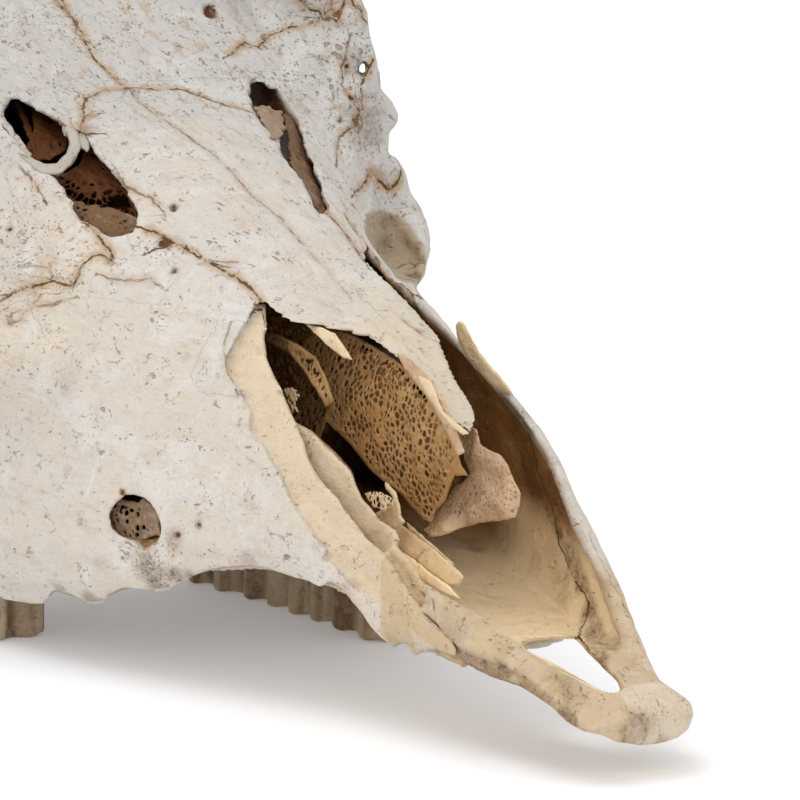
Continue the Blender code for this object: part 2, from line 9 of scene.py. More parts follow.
import logging
import math
from dataclasses import dataclass, field
from enum import Enum, auto
from functools import reduce

import bpy
import numpy as np
import openvdb
from mathutils import Matrix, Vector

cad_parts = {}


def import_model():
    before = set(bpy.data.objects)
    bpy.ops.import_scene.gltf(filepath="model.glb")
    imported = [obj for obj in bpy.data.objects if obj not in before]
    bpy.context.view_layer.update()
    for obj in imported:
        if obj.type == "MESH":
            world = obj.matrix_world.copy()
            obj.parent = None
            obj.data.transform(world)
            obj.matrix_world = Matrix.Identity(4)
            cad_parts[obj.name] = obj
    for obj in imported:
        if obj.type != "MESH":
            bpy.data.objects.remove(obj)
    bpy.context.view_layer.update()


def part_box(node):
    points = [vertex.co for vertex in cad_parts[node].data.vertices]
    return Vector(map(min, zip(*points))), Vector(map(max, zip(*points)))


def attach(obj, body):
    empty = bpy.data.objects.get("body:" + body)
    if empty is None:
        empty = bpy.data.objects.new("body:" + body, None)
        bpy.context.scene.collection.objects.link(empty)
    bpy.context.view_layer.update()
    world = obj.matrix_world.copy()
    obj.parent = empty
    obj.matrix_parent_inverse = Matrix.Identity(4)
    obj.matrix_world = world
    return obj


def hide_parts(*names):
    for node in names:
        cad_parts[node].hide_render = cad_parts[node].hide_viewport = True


LOG = logging.getLogger("skull")
# The muzzle tip's place in the model's frame: its distance in front of the middle, and its height.
ORIGIN_Y = 131.55
LIFT = 3.0
MM = 0.001
PIXELS_PER_MM = 6.4
# Step of the head's lattice and width of the band in which its distances are true, in millimetres.
STEP = 0.55
BAND = 5.0
# A distance that is out of reach of everything.
FAR_AWAY = 99.0
Row = tuple[float, ...]
Rows = tuple[Row, ...]
Marks = dict[str, np.ndarray]
Sockets = dict[str, bpy.types.NodeSocket]
Coats = tuple[tuple[bpy.types.NodeSocket, Row], ...]

# Head sections: station, crown height, shoulder x z, side x z, lower edge x z, underside height.
HEAD_SECTIONS: Rows = (
    (0.5, 6.5, 6.5, 6.0, 10.0, 4.4, 7.5, 2.0, 1.2), (4.0, 9.5, 8.6, 8.8, 12.6, 5.4, 9.6, 1.6, 0.6),
    (12.0, 15.5, 10.5, 13.5, 15.0, 7.8, 12.0, 3.8, 2.2),
    (22.0, 24.0, 11.5, 21.0, 15.8, 12.5, 12.6, 7.2, 5.8),
    (35.0, 36.0, 13.0, 31.5, 16.8, 21.0, 14.0, 9.7, 9.0),
    (47.0, 44.0, 13.0, 41.0, 17.8, 27.0, 15.8, 11.5, 10.5),
    (60.0, 50.0, 14.0, 46.5, 19.6, 31.0, 18.6, 16.0, 14.0),
    (80.0, 58.5, 15.5, 54.0, 23.8, 35.0, 25.0, 16.5, 18.0),
    (95.0, 65.0, 16.5, 59.5, 27.5, 39.0, 30.0, 12.0, 19.0),
    (112.0, 72.0, 19.0, 66.0, 32.0, 44.0, 33.5, 7.0, 19.0),
    (130.0, 78.5, 23.0, 73.0, 39.0, 50.0, 35.5, 5.5, 19.5),
    (147.0, 83.5, 32.0, 79.5, 50.0, 56.0, 33.5, 6.5, 20.0),
    (160.0, 89.5, 40.0, 86.5, 51.5, 62.0, 31.0, 8.0, 21.0),
    (168.0, 93.5, 42.5, 90.0, 50.5, 64.0, 26.0, 14.0, 23.0),
    (177.0, 98.0, 42.5, 92.5, 48.5, 68.0, 19.0, 26.0, 27.0),
    (186.0, 101.5, 41.0, 93.0, 45.5, 71.0, 15.0, 30.0, 28.0),
    (196.0, 103.0, 34.0, 93.0, 36.0, 70.0, 15.0, 31.0, 28.0),
    (208.0, 101.5, 29.0, 90.5, 34.0, 66.0, 17.0, 30.0, 27.0),
    (221.0, 97.0, 26.0, 86.0, 35.0, 61.0, 21.0, 29.0, 26.0),
    (235.0, 88.0, 24.0, 78.0, 34.5, 55.0, 23.0, 27.0, 25.0),
    (247.0, 80.5, 22.0, 71.5, 31.5, 50.0, 20.0, 27.0, 26.0),
    (254.5, 73.0, 17.0, 65.0, 26.0, 47.0, 13.0, 31.0, 30.0))

# Outlines of the bones seen from the side: distance from the muzzle tip and height.
LEFT_PREMAXILLA: Rows = (
    (-15.0, -10.0), (40.0, -10.0), (42.0, 14.0), (58.0, 36.0), (76.0, 53.5), (76.0, 70.0), (-15.0, 70.0))
RIGHT_PREMAXILLA: Rows = (
    (-15.0, -10.0), (40.0, -10.0), (36.0, 13.0), (32.0, 30.0), (30.0, 70.0), (-15.0, 70.0))
FRONTAL_SIDE: Rows = (
    (131.0, 77.0), (148.0, 85.0), (156.0, 80.0), (164.0, 74.0), (196.0, 70.0), (205.0, 76.0),
    (207.0, 125.0), (131.0, 125.0))
LACRIMAL_SIDE: Rows = (
    (104.0, 62.0), (115.0, 58.0), (130.0, 54.5), (139.0, 52.5), (150.0, 56.0), (160.0, 66.0),
    (166.0, 74.0), (156.0, 80.5), (148.0, 90.0), (104.0, 90.0))
ZYGOMATIC_SIDE: Rows = (
    (126.0, 44.0), (136.0, 38.0), (150.0, 34.0), (196.0, 38.0), (190.0, 56.0), (196.0, 60.0),
    (196.0, 75.0), (166.0, 75.0), (160.0, 66.0), (150.0, 56.0), (139.0, 52.5))
TEMPORAL_SIDE: Rows = (
    (186.0, 36.0), (238.0, 34.0), (238.0, 70.0), (222.0, 78.0), (205.0, 74.0), (186.0, 70.0))
OCCIPITAL_SIDE: Rows = ((238.0, -10.0), (275.0, -10.0), (275.0, 110.0), (244.0, 110.0), (238.0, 84.0))
PARIETAL_SIDE: Rows = ((204.0, 60.0), (250.0, 60.0), (250.0, 120.0), (204.0, 120.0))
MAXILLA_SIDE: Rows = (
    (-10.0, -10.0), (167.0, -10.0), (167.0, 28.0), (158.0, 40.0), (160.0, 46.0), (160.0, 100.0),
    (-10.0, 100.0))
# Nasal bones from above: distance from the muzzle tip and half width.
NASAL_TOP: Rows = (
    (40.0, 8.0), (60.0, 12.0), (72.0, 14.0), (80.0, 14.0), (92.0, 15.0), (108.0, 16.5), (122.0, 17.2),
    (134.0, 16.0), (142.0, 13.5), (147.0, 8.0), (148.0, 2.0))
NASAL_DEPTH = 9.0
# Height of the nose cavity's floor at distances from the muzzle tip.
FLOOR_Y: Row = (0.0, 20.0, 40.0, 60.0, 90.0, 120.0)
FLOOR_Z: Row = (9.5, 9.5, 12.5, 16.0, 21.5, 22.5)

# Pixel outlines in the photograph.
NASAL_EDGES: Rows = (
    (265, 306), (282, 317), (291, 323), (304, 327), (317, 327), (329, 329), (345, 332), (355, 334),
    (361, 338), (368, 337), (380, 345), (393, 355), (406, 366), (419, 378), (431, 382), (436, 398),
    (441, 413), (450, 420), (459, 426), (469, 433), (474, 431), (477, 418), (474, 410), (467, 397),
    (458, 383), (450, 368), (447, 358), (443, 350), (441, 339), (433, 329), (422, 317), (406, 300),
    (391, 285), (367, 261), (367, -290), (-290, -290), (-290, 306))
NEAR_PLATE: Rows = (
    (267, 308), (267, 329), (264, 337), (267, 359), (274, 376), (282, 390), (286, 402), (294, 420),
    (303, 440), (310, 462), (320, 478), (329, 490), (338, 500), (348, 514), (360, 530), (371, 544),
    (382, 554), (389, 562), (399, 576), (407, 591), (415, 602), (425, 615), (435, 624), (450, 638),
    (457, 650), (456, 657), (444, 652), (433, 650), (422, 652), (415, 655), (408, 642), (399, 642),
    (394, 647), (382, 636), (371, 624), (361, 610), (351, 599), (341, 585), (329, 580), (321, 586),
    (307, 580), (293, 576), (268, 568), (245, 566), (222, 567), (202, 571), (181, 579), (168, 590),
    (159, 595), (153, 589), (143, 588), (122, 589), (112, 594), (104, 605), (96, 607), (87, 602),
    (71, 595), (54, 590), (47, 602), (41, 608), (26, 610), (15, 605), (0, 602), (-290, 640), (-290, -290),
    (267, -290))
NEAR_POCKET_PLATE: Rows = (
    (282, 390), (295, 422), (310, 431), (322, 442), (335, 454), (351, 471), (357, 488), (363, 500),
    (372, 509), (379, 519), (396, 530), (400, 540), (392, 556), (380, 556), (340, 520), (300, 460),
    (276, 400))
NEAR_CHANNEL: Rows = (
    (227, 360), (229, 374), (238, 388), (246, 402), (252, 414), (250, 428), (255, 437), (263, 443),
    (271, 458), (279, 472), (289, 495), (297, 509), (310, 527), (322, 544), (328, 551), (323, 560),
    (334, 564), (352, 585), (470, 680), (470, 640), (400, 540), (340, 440), (290, 300), (262, 296),
    (250, 318), (236, 340))
FAR_MAXILLA: Rows = (
    (367, 258), (385, 272), (398, 280), (417, 289), (430, 302), (438, 313), (449, 325), (458, 340),
    (465, 349), (482, 378), (520, 430), (620, 600), (720, 800), (720, 1090), (-290, 1090), (-290, -290),
    (367, -290))
SNOUT: Rows = (
    (457, 325), (460, 321), (463, 324), (470, 336), (477, 350), (487, 363), (500, 376), (517, 400),
    (543, 433), (558, 459), (573, 494), (591, 530), (612, 571), (624, 596), (635, 630), (647, 660),
    (658, 681), (676, 693), (690, 704), (692, 714), (687, 729), (676, 737), (660, 742), (640, 744),
    (617, 741), (604, 734), (584, 730), (568, 721), (553, 706), (538, 696), (522, 686), (497, 676),
    (477, 667), (456, 655), (380, 600), (300, 560), (300, 380), (440, 352), (459, 340))
NEAR_BAR: Rows = (
    (394, 546), (408, 557), (422, 581), (440, 592), (459, 604), (479, 616), (500, 632), (512, 638),
    (526, 648), (545, 659), (560, 668), (580, 679), (602, 690), (625, 694), (720, 660), (720, 800),
    (380, 800), (380, 560))
FISSURE: Rows = (
    (521, 644), (533, 640), (553, 639), (576, 639), (589, 653), (604, 668), (617, 681), (621, 690),
    (617, 695), (602, 691), (579, 679), (553, 665), (535, 655))
NEAR_VACUITY: Rows = (
    (3, 112), (10, 99), (20, 101), (33, 107), (48, 116), (64, 125), (77, 133), (88, 139), (94, 151),
    (102, 163), (117, 179), (130, 199), (138, 217), (135, 232), (122, 237), (110, 236), (87, 224),
    (77, 217), (73, 209), (77, 204), (69, 199), (61, 186), (51, 176), (33, 158), (18, 143), (3, 128))
FAR_VACUITY: Rows = (
    (249, 82), (260, 83), (270, 89), (283, 89), (288, 102), (296, 115), (301, 135), (309, 158),
    (319, 179), (323, 199), (328, 209), (319, 218), (311, 202), (301, 179), (288, 163), (281, 151),
    (278, 140), (265, 125), (253, 110), (249, 99))
CHEEK_HOLE: Rows = (
    (110, 515), (116, 504), (128, 501), (143, 503), (153, 512), (158, 522), (152, 533), (138, 539),
    (122, 536), (112, 527))
BROW_HOLE: Rows = ((203, 12), (206, 7), (213, 7), (217, 12), (214, 18), (206, 18))
NASAL_HOLE: Rows = ((170, 208), (172, 205), (175, 206), (177, 209), (175, 213), (171, 212))
LACRIMAL_HOLE: Rows = ((359, 63), (364, 61), (367, 65), (366, 73), (362, 76), (358, 72))
# Small openings for vessels: column, row and radius in pixels.
SMALL_HOLES: Rows = (
    (122, 492, 3.0), (178, 535, 4.0), (199, 525, 2.5), (622, 729, 3.0), (162, 244, 4.0), (174, 271, 2.6),
    (10, 230, 2.6), (432, 606, 3.0), (340, 120, 1.8), (350, 98, 2.0), (347, 66, 1.8))
# The brow's and the nasal bone's own round holes: column, row and radius in pixels.
ROUND_HOLES: Rows = ((210, 13, 9.0), (174, 208, 5.0))
BAR_STEP: Rows = (
    (425, 612), (436, 622), (450, 640), (459, 648), (480, 656), (500, 663), (520, 673), (541, 686),
    (553, 690), (560, 697), (575, 712), (590, 735), (560, 760), (430, 700), (400, 640))
ORBIT_EDGE: Rows = (
    (700, -290), (560, -80), (400, -24), (367, 0), (372, 14), (371, 24), (373, 43), (378, 61), (381, 73),
    (381, 89), (390, 99), (399, 115), (394, 126), (388, 133), (387, 155), (396, 159), (404, 170),
    (411, 190), (422, 208), (430, 227), (431, 247), (425, 275), (415, 288), (445, 330), (480, 1090),
    (-290, 1090), (-290, -290))
CUP_EDGE: Rows = (
    (364, 237), (364, 225), (366, 215), (372, 210), (385, 210), (400, 216), (412, 227), (421, 241),
    (427, 257), (425, 272), (417, 284), (405, 283), (390, 274), (375, 262), (367, 250))
INNER_RIDGE: Rows = (
    (526, 440), (537, 480), (545, 500), (550, 520), (554, 545), (563, 560), (571, 580), (581, 594),
    (586, 604), (583, 618), (579, 635), (590, 656))
BRIDGE: Rows = ((60, 123), (77, 130), (90, 137), (92, 146), (87, 151), (80, 148), (76, 140), (66, 136))
LOWER_PLATE: Rows = (
    (50, 166), (66, 174), (80, 164), (86, 146), (98, 148), (106, 161), (121, 177), (134, 198), (142, 217),
    (139, 236), (122, 241), (106, 240), (83, 227), (71, 217), (66, 208), (70, 203), (62, 199), (54, 186))
UPPER_PLATE: Rows = (
    (30, 98), (46, 108), (64, 122), (72, 134), (66, 150), (52, 160), (30, 160), (24, 150), (34, 128))
RIB: Rows = ((13, 98), (18, 97), (28, 120), (36, 142), (38, 156), (33, 156), (28, 138), (20, 118))
CHEEK_LATTICE: Rows = (
    (104, 504), (122, 499), (146, 500), (162, 512), (160, 534), (142, 544), (118, 542), (104, 528))
CRUST: Rows = (
    (536, 470), (551, 500), (556, 520), (560, 545), (572, 575), (586, 598), (584, 620), (582, 636),
    (592, 660), (606, 678), (610, 650), (600, 610), (588, 580), (578, 550), (566, 500), (552, 470))
STRAP: Rows = (
    (62, 122), (78, 131), (81, 147), (72, 165), (58, 176), (40, 174), (26, 162), (20, 153), (32, 158),
    (44, 164), (57, 164), (67, 153), (70, 143), (66, 134))
SPLINTER: Rows = ((0, 114), (8, 122), (20, 138), (33, 155), (29, 158), (16, 143), (0, 122))
FAR_PLATE: Rows = (
    (284, 92), (292, 108), (300, 128), (305, 150), (313, 172), (322, 194), (330, 210), (318, 220),
    (307, 204), (298, 184), (291, 164), (287, 142), (285, 118))
NEAR_FLOOR: Rows = (
    (68, 199), (84, 203), (102, 208), (120, 210), (134, 212), (142, 222), (138, 240), (120, 244),
    (98, 238), (76, 224))
FLAKE: Rows = (
    (255, 108), (265, 105), (272, 110), (282, 113), (285, 124), (281, 140), (274, 138), (264, 128))
# The top edge of the left side wall seen from the side, and what lies above it.
LEFT_NOSTRIL: Rows = (
    (84.0, 62.5), (80.0, 59.5), (73.0, 56.5), (57.0, 46.8), (46.0, 39.2), (37.0, 29.6), (28.0, 20.3),
    (21.0, 12.5), (14.0, 9.6), (5.0, 10.2), (-12.0, 10.2), (-12.0, 95.0), (84.0, 95.0))


@dataclass(frozen=True)
class SutureLine:
    """A seam, crack or crease, drawn in the photograph.

    Attributes:
        pixels: Its course.
        both: Whether the other side has its mirror image.
        weight: How dark and wide it is, from 0 to 1.
    """

    pixels: Rows
    both: bool = False
    weight: float = 0.7


# Soil stains in the photograph, and painted shade in the brow's and the nasal bone's round holes at (210,
# 13) and (173, 208): column, row, radius, darkness.
STAINS: Rows = (
    (150, 567, 26, 0.55), (175, 540, 14, 0.4), (100, 560, 16, 0.25), (132, 520, 30, 0.2),
    (320, 545, 10, 0.3), (68, 470, 6, 0.4), (186, 357, 5, 0.4), (66, 388, 5, 0.4), (560, 690, 26, 0.5),
    (640, 725, 18, 0.5), (600, 630, 22, 0.7), (585, 580, 18, 0.6), (560, 520, 16, 0.5),
    (430, 655, 14, 0.6), (420, 335, 9, 0.6), (240, 395, 10, 0.4), (310, 405, 10, 0.3), (88, 130, 14, 0.5),
    (365, 120, 34, 0.5), (350, 60, 18, 0.5), (210, 13, 7, 1.0), (420, 262, 12, 0.8), (413, 276, 12, 0.8),
    (419, 244, 8, 0.5), (173, 208, 4, 1.0), (90, 600, 12, 0.6), (60, 590, 10, 0.5), (155, 582, 14, 0.7),
    (190, 574, 8, 0.6), (115, 596, 10, 0.6), (470, 640, 9, 0.5), (440, 622, 9, 0.6), (405, 575, 9, 0.6),
    (500, 668, 9, 0.6), (530, 690, 9, 0.6), (548, 700, 12, 0.7), (660, 742, 10, 0.6), (626, 742, 10, 0.5),
    (350, 590, 10, 0.4), (330, 520, 14, 0.3), (178, 575, 14, 0.6), (250, 560, 12, 0.3),
    (395, 640, 12, 0.4), (460, 440, 10, 0.3))
# Stains on the far inner wall of the nose: column, row, radius, darkness.
INNER_STAINS: Rows = (
    (516, 425, 40, 0.8), (528, 470, 36, 0.9), (542, 500, 20, 1.0), (554, 528, 17, 1.0),
    (566, 556, 17, 1.0), (577, 582, 16, 1.0), (588, 612, 17, 1.0), (600, 645, 18, 0.9),
    (500, 390, 30, 0.7), (560, 585, 26, 0.35), (548, 550, 22, 0.3), (470, 545, 20, 0.5))
# Rough places: column, row, radius in pixels and height in millimetres.
ROUGH: Rows = (
    (45, 245, 75, 0.28), (348, 60, 34, 0.5), (350, 115, 34, 0.55), (345, 10, 34, 0.45),
    (150, 560, 42, 0.5), (560, 700, 26, 0.2), (660, 715, 34, 0.1), (90, 100, 26, 0.3),
    (375, 170, 26, 0.3), (412, 605, 22, 0.25), (160, 250, 26, 0.25))
SUTURE_LINES = (
    SutureLine(((58, -8), (64, 3), (84, 33), (94, 59), (110, 74), (128, 89)), False, 0.8),
    SutureLine(
        ((128, 89), (140, 102), (179, 128), (212, 153), (235, 176), (255, 196), (281, 219), (304, 245)),
        False, 0.42), SutureLine(((304, 245), (325, 268), (348, 295)), False, 0.2),
    SutureLine(((128, 88), (150, 88), (179, 89), (204, 97), (227, 105), (251, 111)), False, 0.75),
    SutureLine(((128, 88), (102, 91), (87, 99), (83, 110), (84, 118)), False, 0.7),
    SutureLine(((92, 117), (84, 118), (80, 126), (82, 131)), False, 0.8),
    SutureLine(((62, 127), (75, 132), (88, 134)), False, 0.9),
    SutureLine(
        ((147, 231), (163, 235), (184, 247), (204, 259), (224, 270), (242, 282), (255, 293), (265, 306)),
        True, 0.85), SutureLine(((158, 233), (166, 237), (168, 243), (162, 246)), False, 0.9),
    SutureLine(((89, 227), (102, 240), (110, 250), (113, 258)), True, 0.85),
    SutureLine(
        (
            (111, 260), (102, 256), (94, 255), (82, 263), (77, 276), (71, 286), (54, 281), (40, 286),
            (26, 288)), True, 0.8), SutureLine(((26, 288), (12, 293), (3, 298), (-10, 308)), True, 0.5),
    SutureLine(((66, 300), (52, 305), (30, 307), (12, 312), (10, 320), (18, 322)), True, 0.45),
    SutureLine(((118, 174), (126, 186), (140, 193), (150, 196), (158, 206)), True, 0.5),
    SutureLine(((200, 258), (222, 262), (240, 263)), False, 0.35),
    SutureLine(
        ((232, 54), (245, 41), (258, 47), (270, 36), (286, 29), (306, 24), (329, 20), (340, 10)), True,
        0.8), SutureLine(((326, 212), (340, 226), (354, 244), (367, 261)), False, 0.7),
    SutureLine(
        ((355, 193), (365, 184), (371, 170), (379, 181), (390, 190), (397, 181), (404, 171)), True, 0.9),
    SutureLine(((404, 323), (412, 331), (420, 338), (428, 342)), False, 0.5),
    SutureLine(((28, 175), (33, 182), (38, 190)), False, 0.5),
    SutureLine(((108, 278), (128, 280), (150, 278), (158, 284)), False, 0.45),
    SutureLine(((225, 340), (224, 352), (227, 362), (232, 378)), False, 0.35),
    SutureLine(((348, 48), (346, 60), (341, 66), (342, 75)), True, 0.6),
    SutureLine(
        ((345, 92), (352, 99), (354, 106), (358, 113), (353, 122), (358, 128), (358, 136)), True, 0.7),
    SutureLine(((362, 98), (361, 115), (360, 130)), True, 0.4),
    SutureLine(((355, 126), (346, 132), (341, 138), (339, 150), (337, 162)), True, 0.6),
    SutureLine(((296, -6), (303, 4), (311, 9), (319, 12), (323, 19), (329, 20)), True, 0.8),
    SutureLine(((333, -6), (331, 8), (328, 16), (337, 22), (344, 6), (348, -6)), True, 0.7),
    SutureLine(((352, 0), (356, 8), (363, 12), (361, 18), (368, 23)), True, 0.7),
    SutureLine(((372, 62), (366, 70), (364, 77)), False, 0.8),
    SutureLine(((325, 202), (330, 214), (338, 222), (348, 238), (356, 248), (366, 262)), False, 0.55),
    SutureLine(((354, 222), (360, 240), (368, 256)), False, 0.3),
    SutureLine(((640, 722), (643, 728), (641, 736)), False, 0.25),
    SutureLine(((425, 600), (432, 603), (437, 600), (440, 610)), False, 0.5),
    SutureLine(((8, 316), (10, 324), (19, 321), (24, 312), (34, 304), (40, 296)), False, 0.45),
    SutureLine(((52, 274), (46, 268), (36, 266)), False, 0.3))


@dataclass(frozen=True)
class Limb:
    """A rounded mass or hollow along a line.

    Attributes:
        line: Centre points on the left side.
        radii: Radius at each centre point.
        flatten: Width across the head for a height of one.
        blend: How far it melts into the head, in millimetres.
        paired: Whether the right side has one too.
    """

    line: Rows
    radii: Row
    flatten: float = 1.0
    blend: float = 4.0
    paired: bool = True


HORN_LINE: Rows = (
    (24.0, 193.0, 100.0), (31.0, 212.0, 130.0), (40.0, 232.0, 163.0), (51.0, 246.0, 197.0),
    (61.0, 250.0, 229.0), (67.0, 239.0, 260.0), (69.0, 216.0, 283.0))
HORN_RADII: Row = (19.5, 18.5, 16.5, 14.0, 11.0, 7.0, 1.6)
ORBIT_CENTRE: Row = (50.0, 171.0, 70.5)

MASSES = (
    Limb(
        (
            (34.0, 116.0, 44.0), (44.0, 132.0, 48.0), (52.0, 145.0, 51.0), (54.5, 165.0, 48.5),
            (54.0, 188.0, 50.0), (50.0, 206.0, 53.0), (40.0, 222.0, 55.0), (28.0, 232.0, 54.0)),
        (4.0, 8.0, 8.5, 7.5, 6.5, 6.0, 7.0, 7.0), 0.7, 5.0),
    Limb(((22.0, 184.0, 84.0), (23.0, 190.0, 95.0), HORN_LINE[0]), (19.0, 18.5, 18.5), 1.0, 6.0),
    Limb(
        (
            (47.0, 154.0, 86.0), (46.2, 155.0, 92.0), (44.5, 158.0, 97.0), (39.0, 167.0, 100.0),
            (33.0, 177.0, 101.0)), (4.0, 4.3, 4.8, 6.0, 8.0), 1.0, 5.0),
    Limb(
        ((50.3, 149.0, 67.5), (52.0, 148.5, 63.0), (54.0, 148.0, 58.5), (55.0, 148.0, 54.0)),
        (4.0, 4.3, 4.8, 5.2), 1.0, 2.5),
    Limb(((21.0, 217.0, 26.0), (21.0, 224.0, 25.0), (21.0, 231.0, 27.0)), (6.0, 8.5, 6.0), 0.9),
    Limb(((9.0, 252.0, 41.0), (12.0, 256.0, 35.0), (10.0, 252.0, 29.0)), (5.0, 7.0, 5.0), 1.0, 3.0),
    Limb(((24.0, 243.0, 42.0), (25.0, 244.0, 22.0), (24.5, 245.0, -6.0)), (10.0, 7.5, 4.6), 0.6),
    Limb(((13.0, 152.0, 25.0), (12.5, 172.0, 23.0), (13.0, 190.0, 27.0)), (4.0, 4.5, 3.0), 0.5, 3.0),
    Limb(
        (
            (-31.0, 242.0, 58.0), (-19.0, 248.5, 72.0), (0.0, 251.0, 79.5), (19.0, 248.5, 72.0),
            (31.0, 242.0, 58.0)), (3.4, 4.0, 4.6, 4.0, 3.4), 1.0, 5.0, False))
HOLLOWS = (
    Limb(
        ((45.0, 193.5, 30.0), (45.0, 194.5, 52.0), (45.0, 195.5, 74.0), (44.0, 198.0, 90.0)),
        (9.0, 9.0, 8.0, 5.0), 0.9, 2.5),
    Limb(((0.0, 242.0, 38.0), (0.0, 252.0, 39.0), (0.0, 275.0, 40.0)), (7.0, 9.0, 9.5), 1.0, 1.5, False))
CHAMBER = Limb(
    ((17.0, 106.0, 56.0), (20.0, 118.0, 59.0), (22.0, 132.0, 64.0), (25.0, 148.0, 71.0)),
    (6.5, 9.0, 10.0, 8.0), 1.0, 1.0)
CHEEK_CANAL = Limb(
    ((38.0, 84.0, 19.0), (30.0, 94.0, 23.0), (24.0, 108.0, 28.0)), (3.2, 3.4, 2.6), 1.0, 0.8)


def to_metres(points: np.ndarray) -> np.ndarray:
    """Turn millimetres from the muzzle tip into the model's metres."""
    return (points - np.array((0.0, ORIGIN_Y, -LIFT))) * MM


def smooth_rows(rows: Rows, stations: np.ndarray) -> np.ndarray:
    """Interpolate every column of a table smoothly.

    Args:
        rows: Table whose first column rises.
        stations: Places along the first column.

    Returns:
        One row for each station.
    """
    table = np.array(rows, dtype=float)
    along = table[:, 0]
    slopes = np.gradient(table, along, axis=0)
    index = np.clip(np.searchsorted(along, stations) - 1, 0, len(along) - 2)
    span = (along[index + 1] - along[index])[:, None]
    t = (stations[:, None] - along[index][:, None]) / span
    low, high = table[index], table[index + 1]
    rise, fall = slopes[index] * span, slopes[index + 1] * span
    return ((2 * t ** 3 - 3 * t ** 2 + 1) * low + (t ** 3 - 2 * t ** 2 + t) * rise
            + (3 * t ** 2 - 2 * t ** 3) * high + (t ** 3 - t ** 2) * fall)


def outline_distance(outline: Rows, u: np.ndarray, v: np.ndarray) -> np.ndarray:
    """Measure the distance to a closed outline, negative inside.

    Args:
        outline: Corners in order.
        u: First coordinates.
        v: Second coordinates, which broadcast with the first.

    Returns:
        Distance at each place.
    """
    u, v = np.broadcast_arrays(u.astype(np.float32), v.astype(np.float32))
    nearest = np.full(u.shape, 1e12, dtype=np.float32)
    inside = np.zeros(u.shape, dtype=bool)
    for (u0, v0), (u1, v1) in zip(outline, outline[1:] + outline[:1]):
        du, dv = u1 - u0, v1 - v0
        t = np.clip(((u - u0) * du + (v - v0) * dv) / max(du * du + dv * dv, 1e-9), 0.0, 1.0)
        nearest = np.minimum(nearest, (u - u0 - t * du) ** 2 + (v - v0 - t * dv) ** 2)
        if v0 != v1:
            inside ^= ((v0 > v) != (v1 > v)) & (u < du * (v - v0) / dv + u0)
    return np.where(inside, -1.0, 1.0).astype(np.float32) * np.sqrt(nearest)


def half_outline(profile: Rows) -> Rows:
    """Turn distances and half widths into a closed outline of x and y."""
    return tuple((x, y) for y, x in profile) + tuple((-x, y) for y, x in reversed(profile))


def join(first: np.ndarray, second: np.ndarray, blend: float) -> np.ndarray:
    """Melt two forms together over a blend width."""
    meet = np.clip(blend - np.abs(first - second), 0.0, None) / blend
    return np.minimum(first, second) - meet * meet * (blend * 0.25)


def cut(form: np.ndarray, tool: np.ndarray, blend: float) -> np.ndarray:
    """Take a tool out of a form with a rounded edge."""
    return -join(-form, tool, blend)


def overlap(*forms: np.ndarray) -> np.ndarray:
    """Give the form that all the given ones share."""
    return reduce(np.maximum, forms)


def distance_from(points: np.ndarray, centre: np.ndarray) -> np.ndarray:
    """Measure how far points lie from a centre."""
    return np.sqrt(((points - centre) ** 2).sum(axis=1))


def look_matrix(right: np.ndarray, up: np.ndarray, ahead: np.ndarray, place: np.ndarray) -> Matrix:
    """Give the matrix of a camera or lamp that looks ahead from a place."""
    return Matrix([(right[i], up[i], -ahead[i], place[i]) for i in range(3)] + [(0, 0, 0, 1)])


def step_up(low: float, high: float, value: np.ndarray) -> np.ndarray:
    """Rise smoothly from 0 to 1 between two values."""
    t = np.clip((value - low) / (high - low), 0.0, 1.0)
    return t * t * (3.0 - 2.0 * t)


class Noise:
    """Smooth random values on a repeating lattice.

    Args:
        scale: Size of one lattice cell in millimetres.
        seed: Number that fixes the values.
    """

    CELLS = 32
    SHIFT = 1000.0

    def __init__(self, scale: float, seed: int) -> None:
        """Draw the random values."""
        self.scale = scale
        self.values = np.random.default_rng(seed).uniform(-1.0, 1.0, (self.CELLS,) * 3).astype(np.float32)

    def at(self, x: np.ndarray, y: np.ndarray, z: np.ndarray) -> np.ndarray:
        """Read the noise at places; the three arrays broadcast.

        Args:
            x: Places to the animal's left.
            y: Places backwards.
            z: Heights.

        Returns:
            Values of the noise.
        """
        parts = []
        for axis in (x, y, z):
            scaled = np.asarray(axis, dtype=np.float32) / self.scale + self.SHIFT
            whole = np.floor(scaled).astype(np.int32)
            rest = scaled - whole
            parts.append((whole % self.CELLS, (whole + 1) % self.CELLS, rest * rest * (3.0 - 2.0 * rest)))
        (x0, x1, fx), (y0, y1, fy), (z0, z1, fz) = parts
        grid = self.values
        low = (grid[x0, y0, z0] * (1 - fx) + grid[x1, y0, z0] * fx) * (1 - fy) \
            + (grid[x0, y1, z0] * (1 - fx) + grid[x1, y1, z0] * fx) * fy
        high = (grid[x0, y0, z1] * (1 - fx) + grid[x1, y0, z1] * fx) * (1 - fy) \
            + (grid[x0, y1, z1] * (1 - fx) + grid[x1, y1, z1] * fx) * fy
        return low * (1 - fz) + high * fz

    def over(self, block: Block) -> np.ndarray:
        """Read the noise over a block."""
        return self.at(block.x, block.y, block.z)


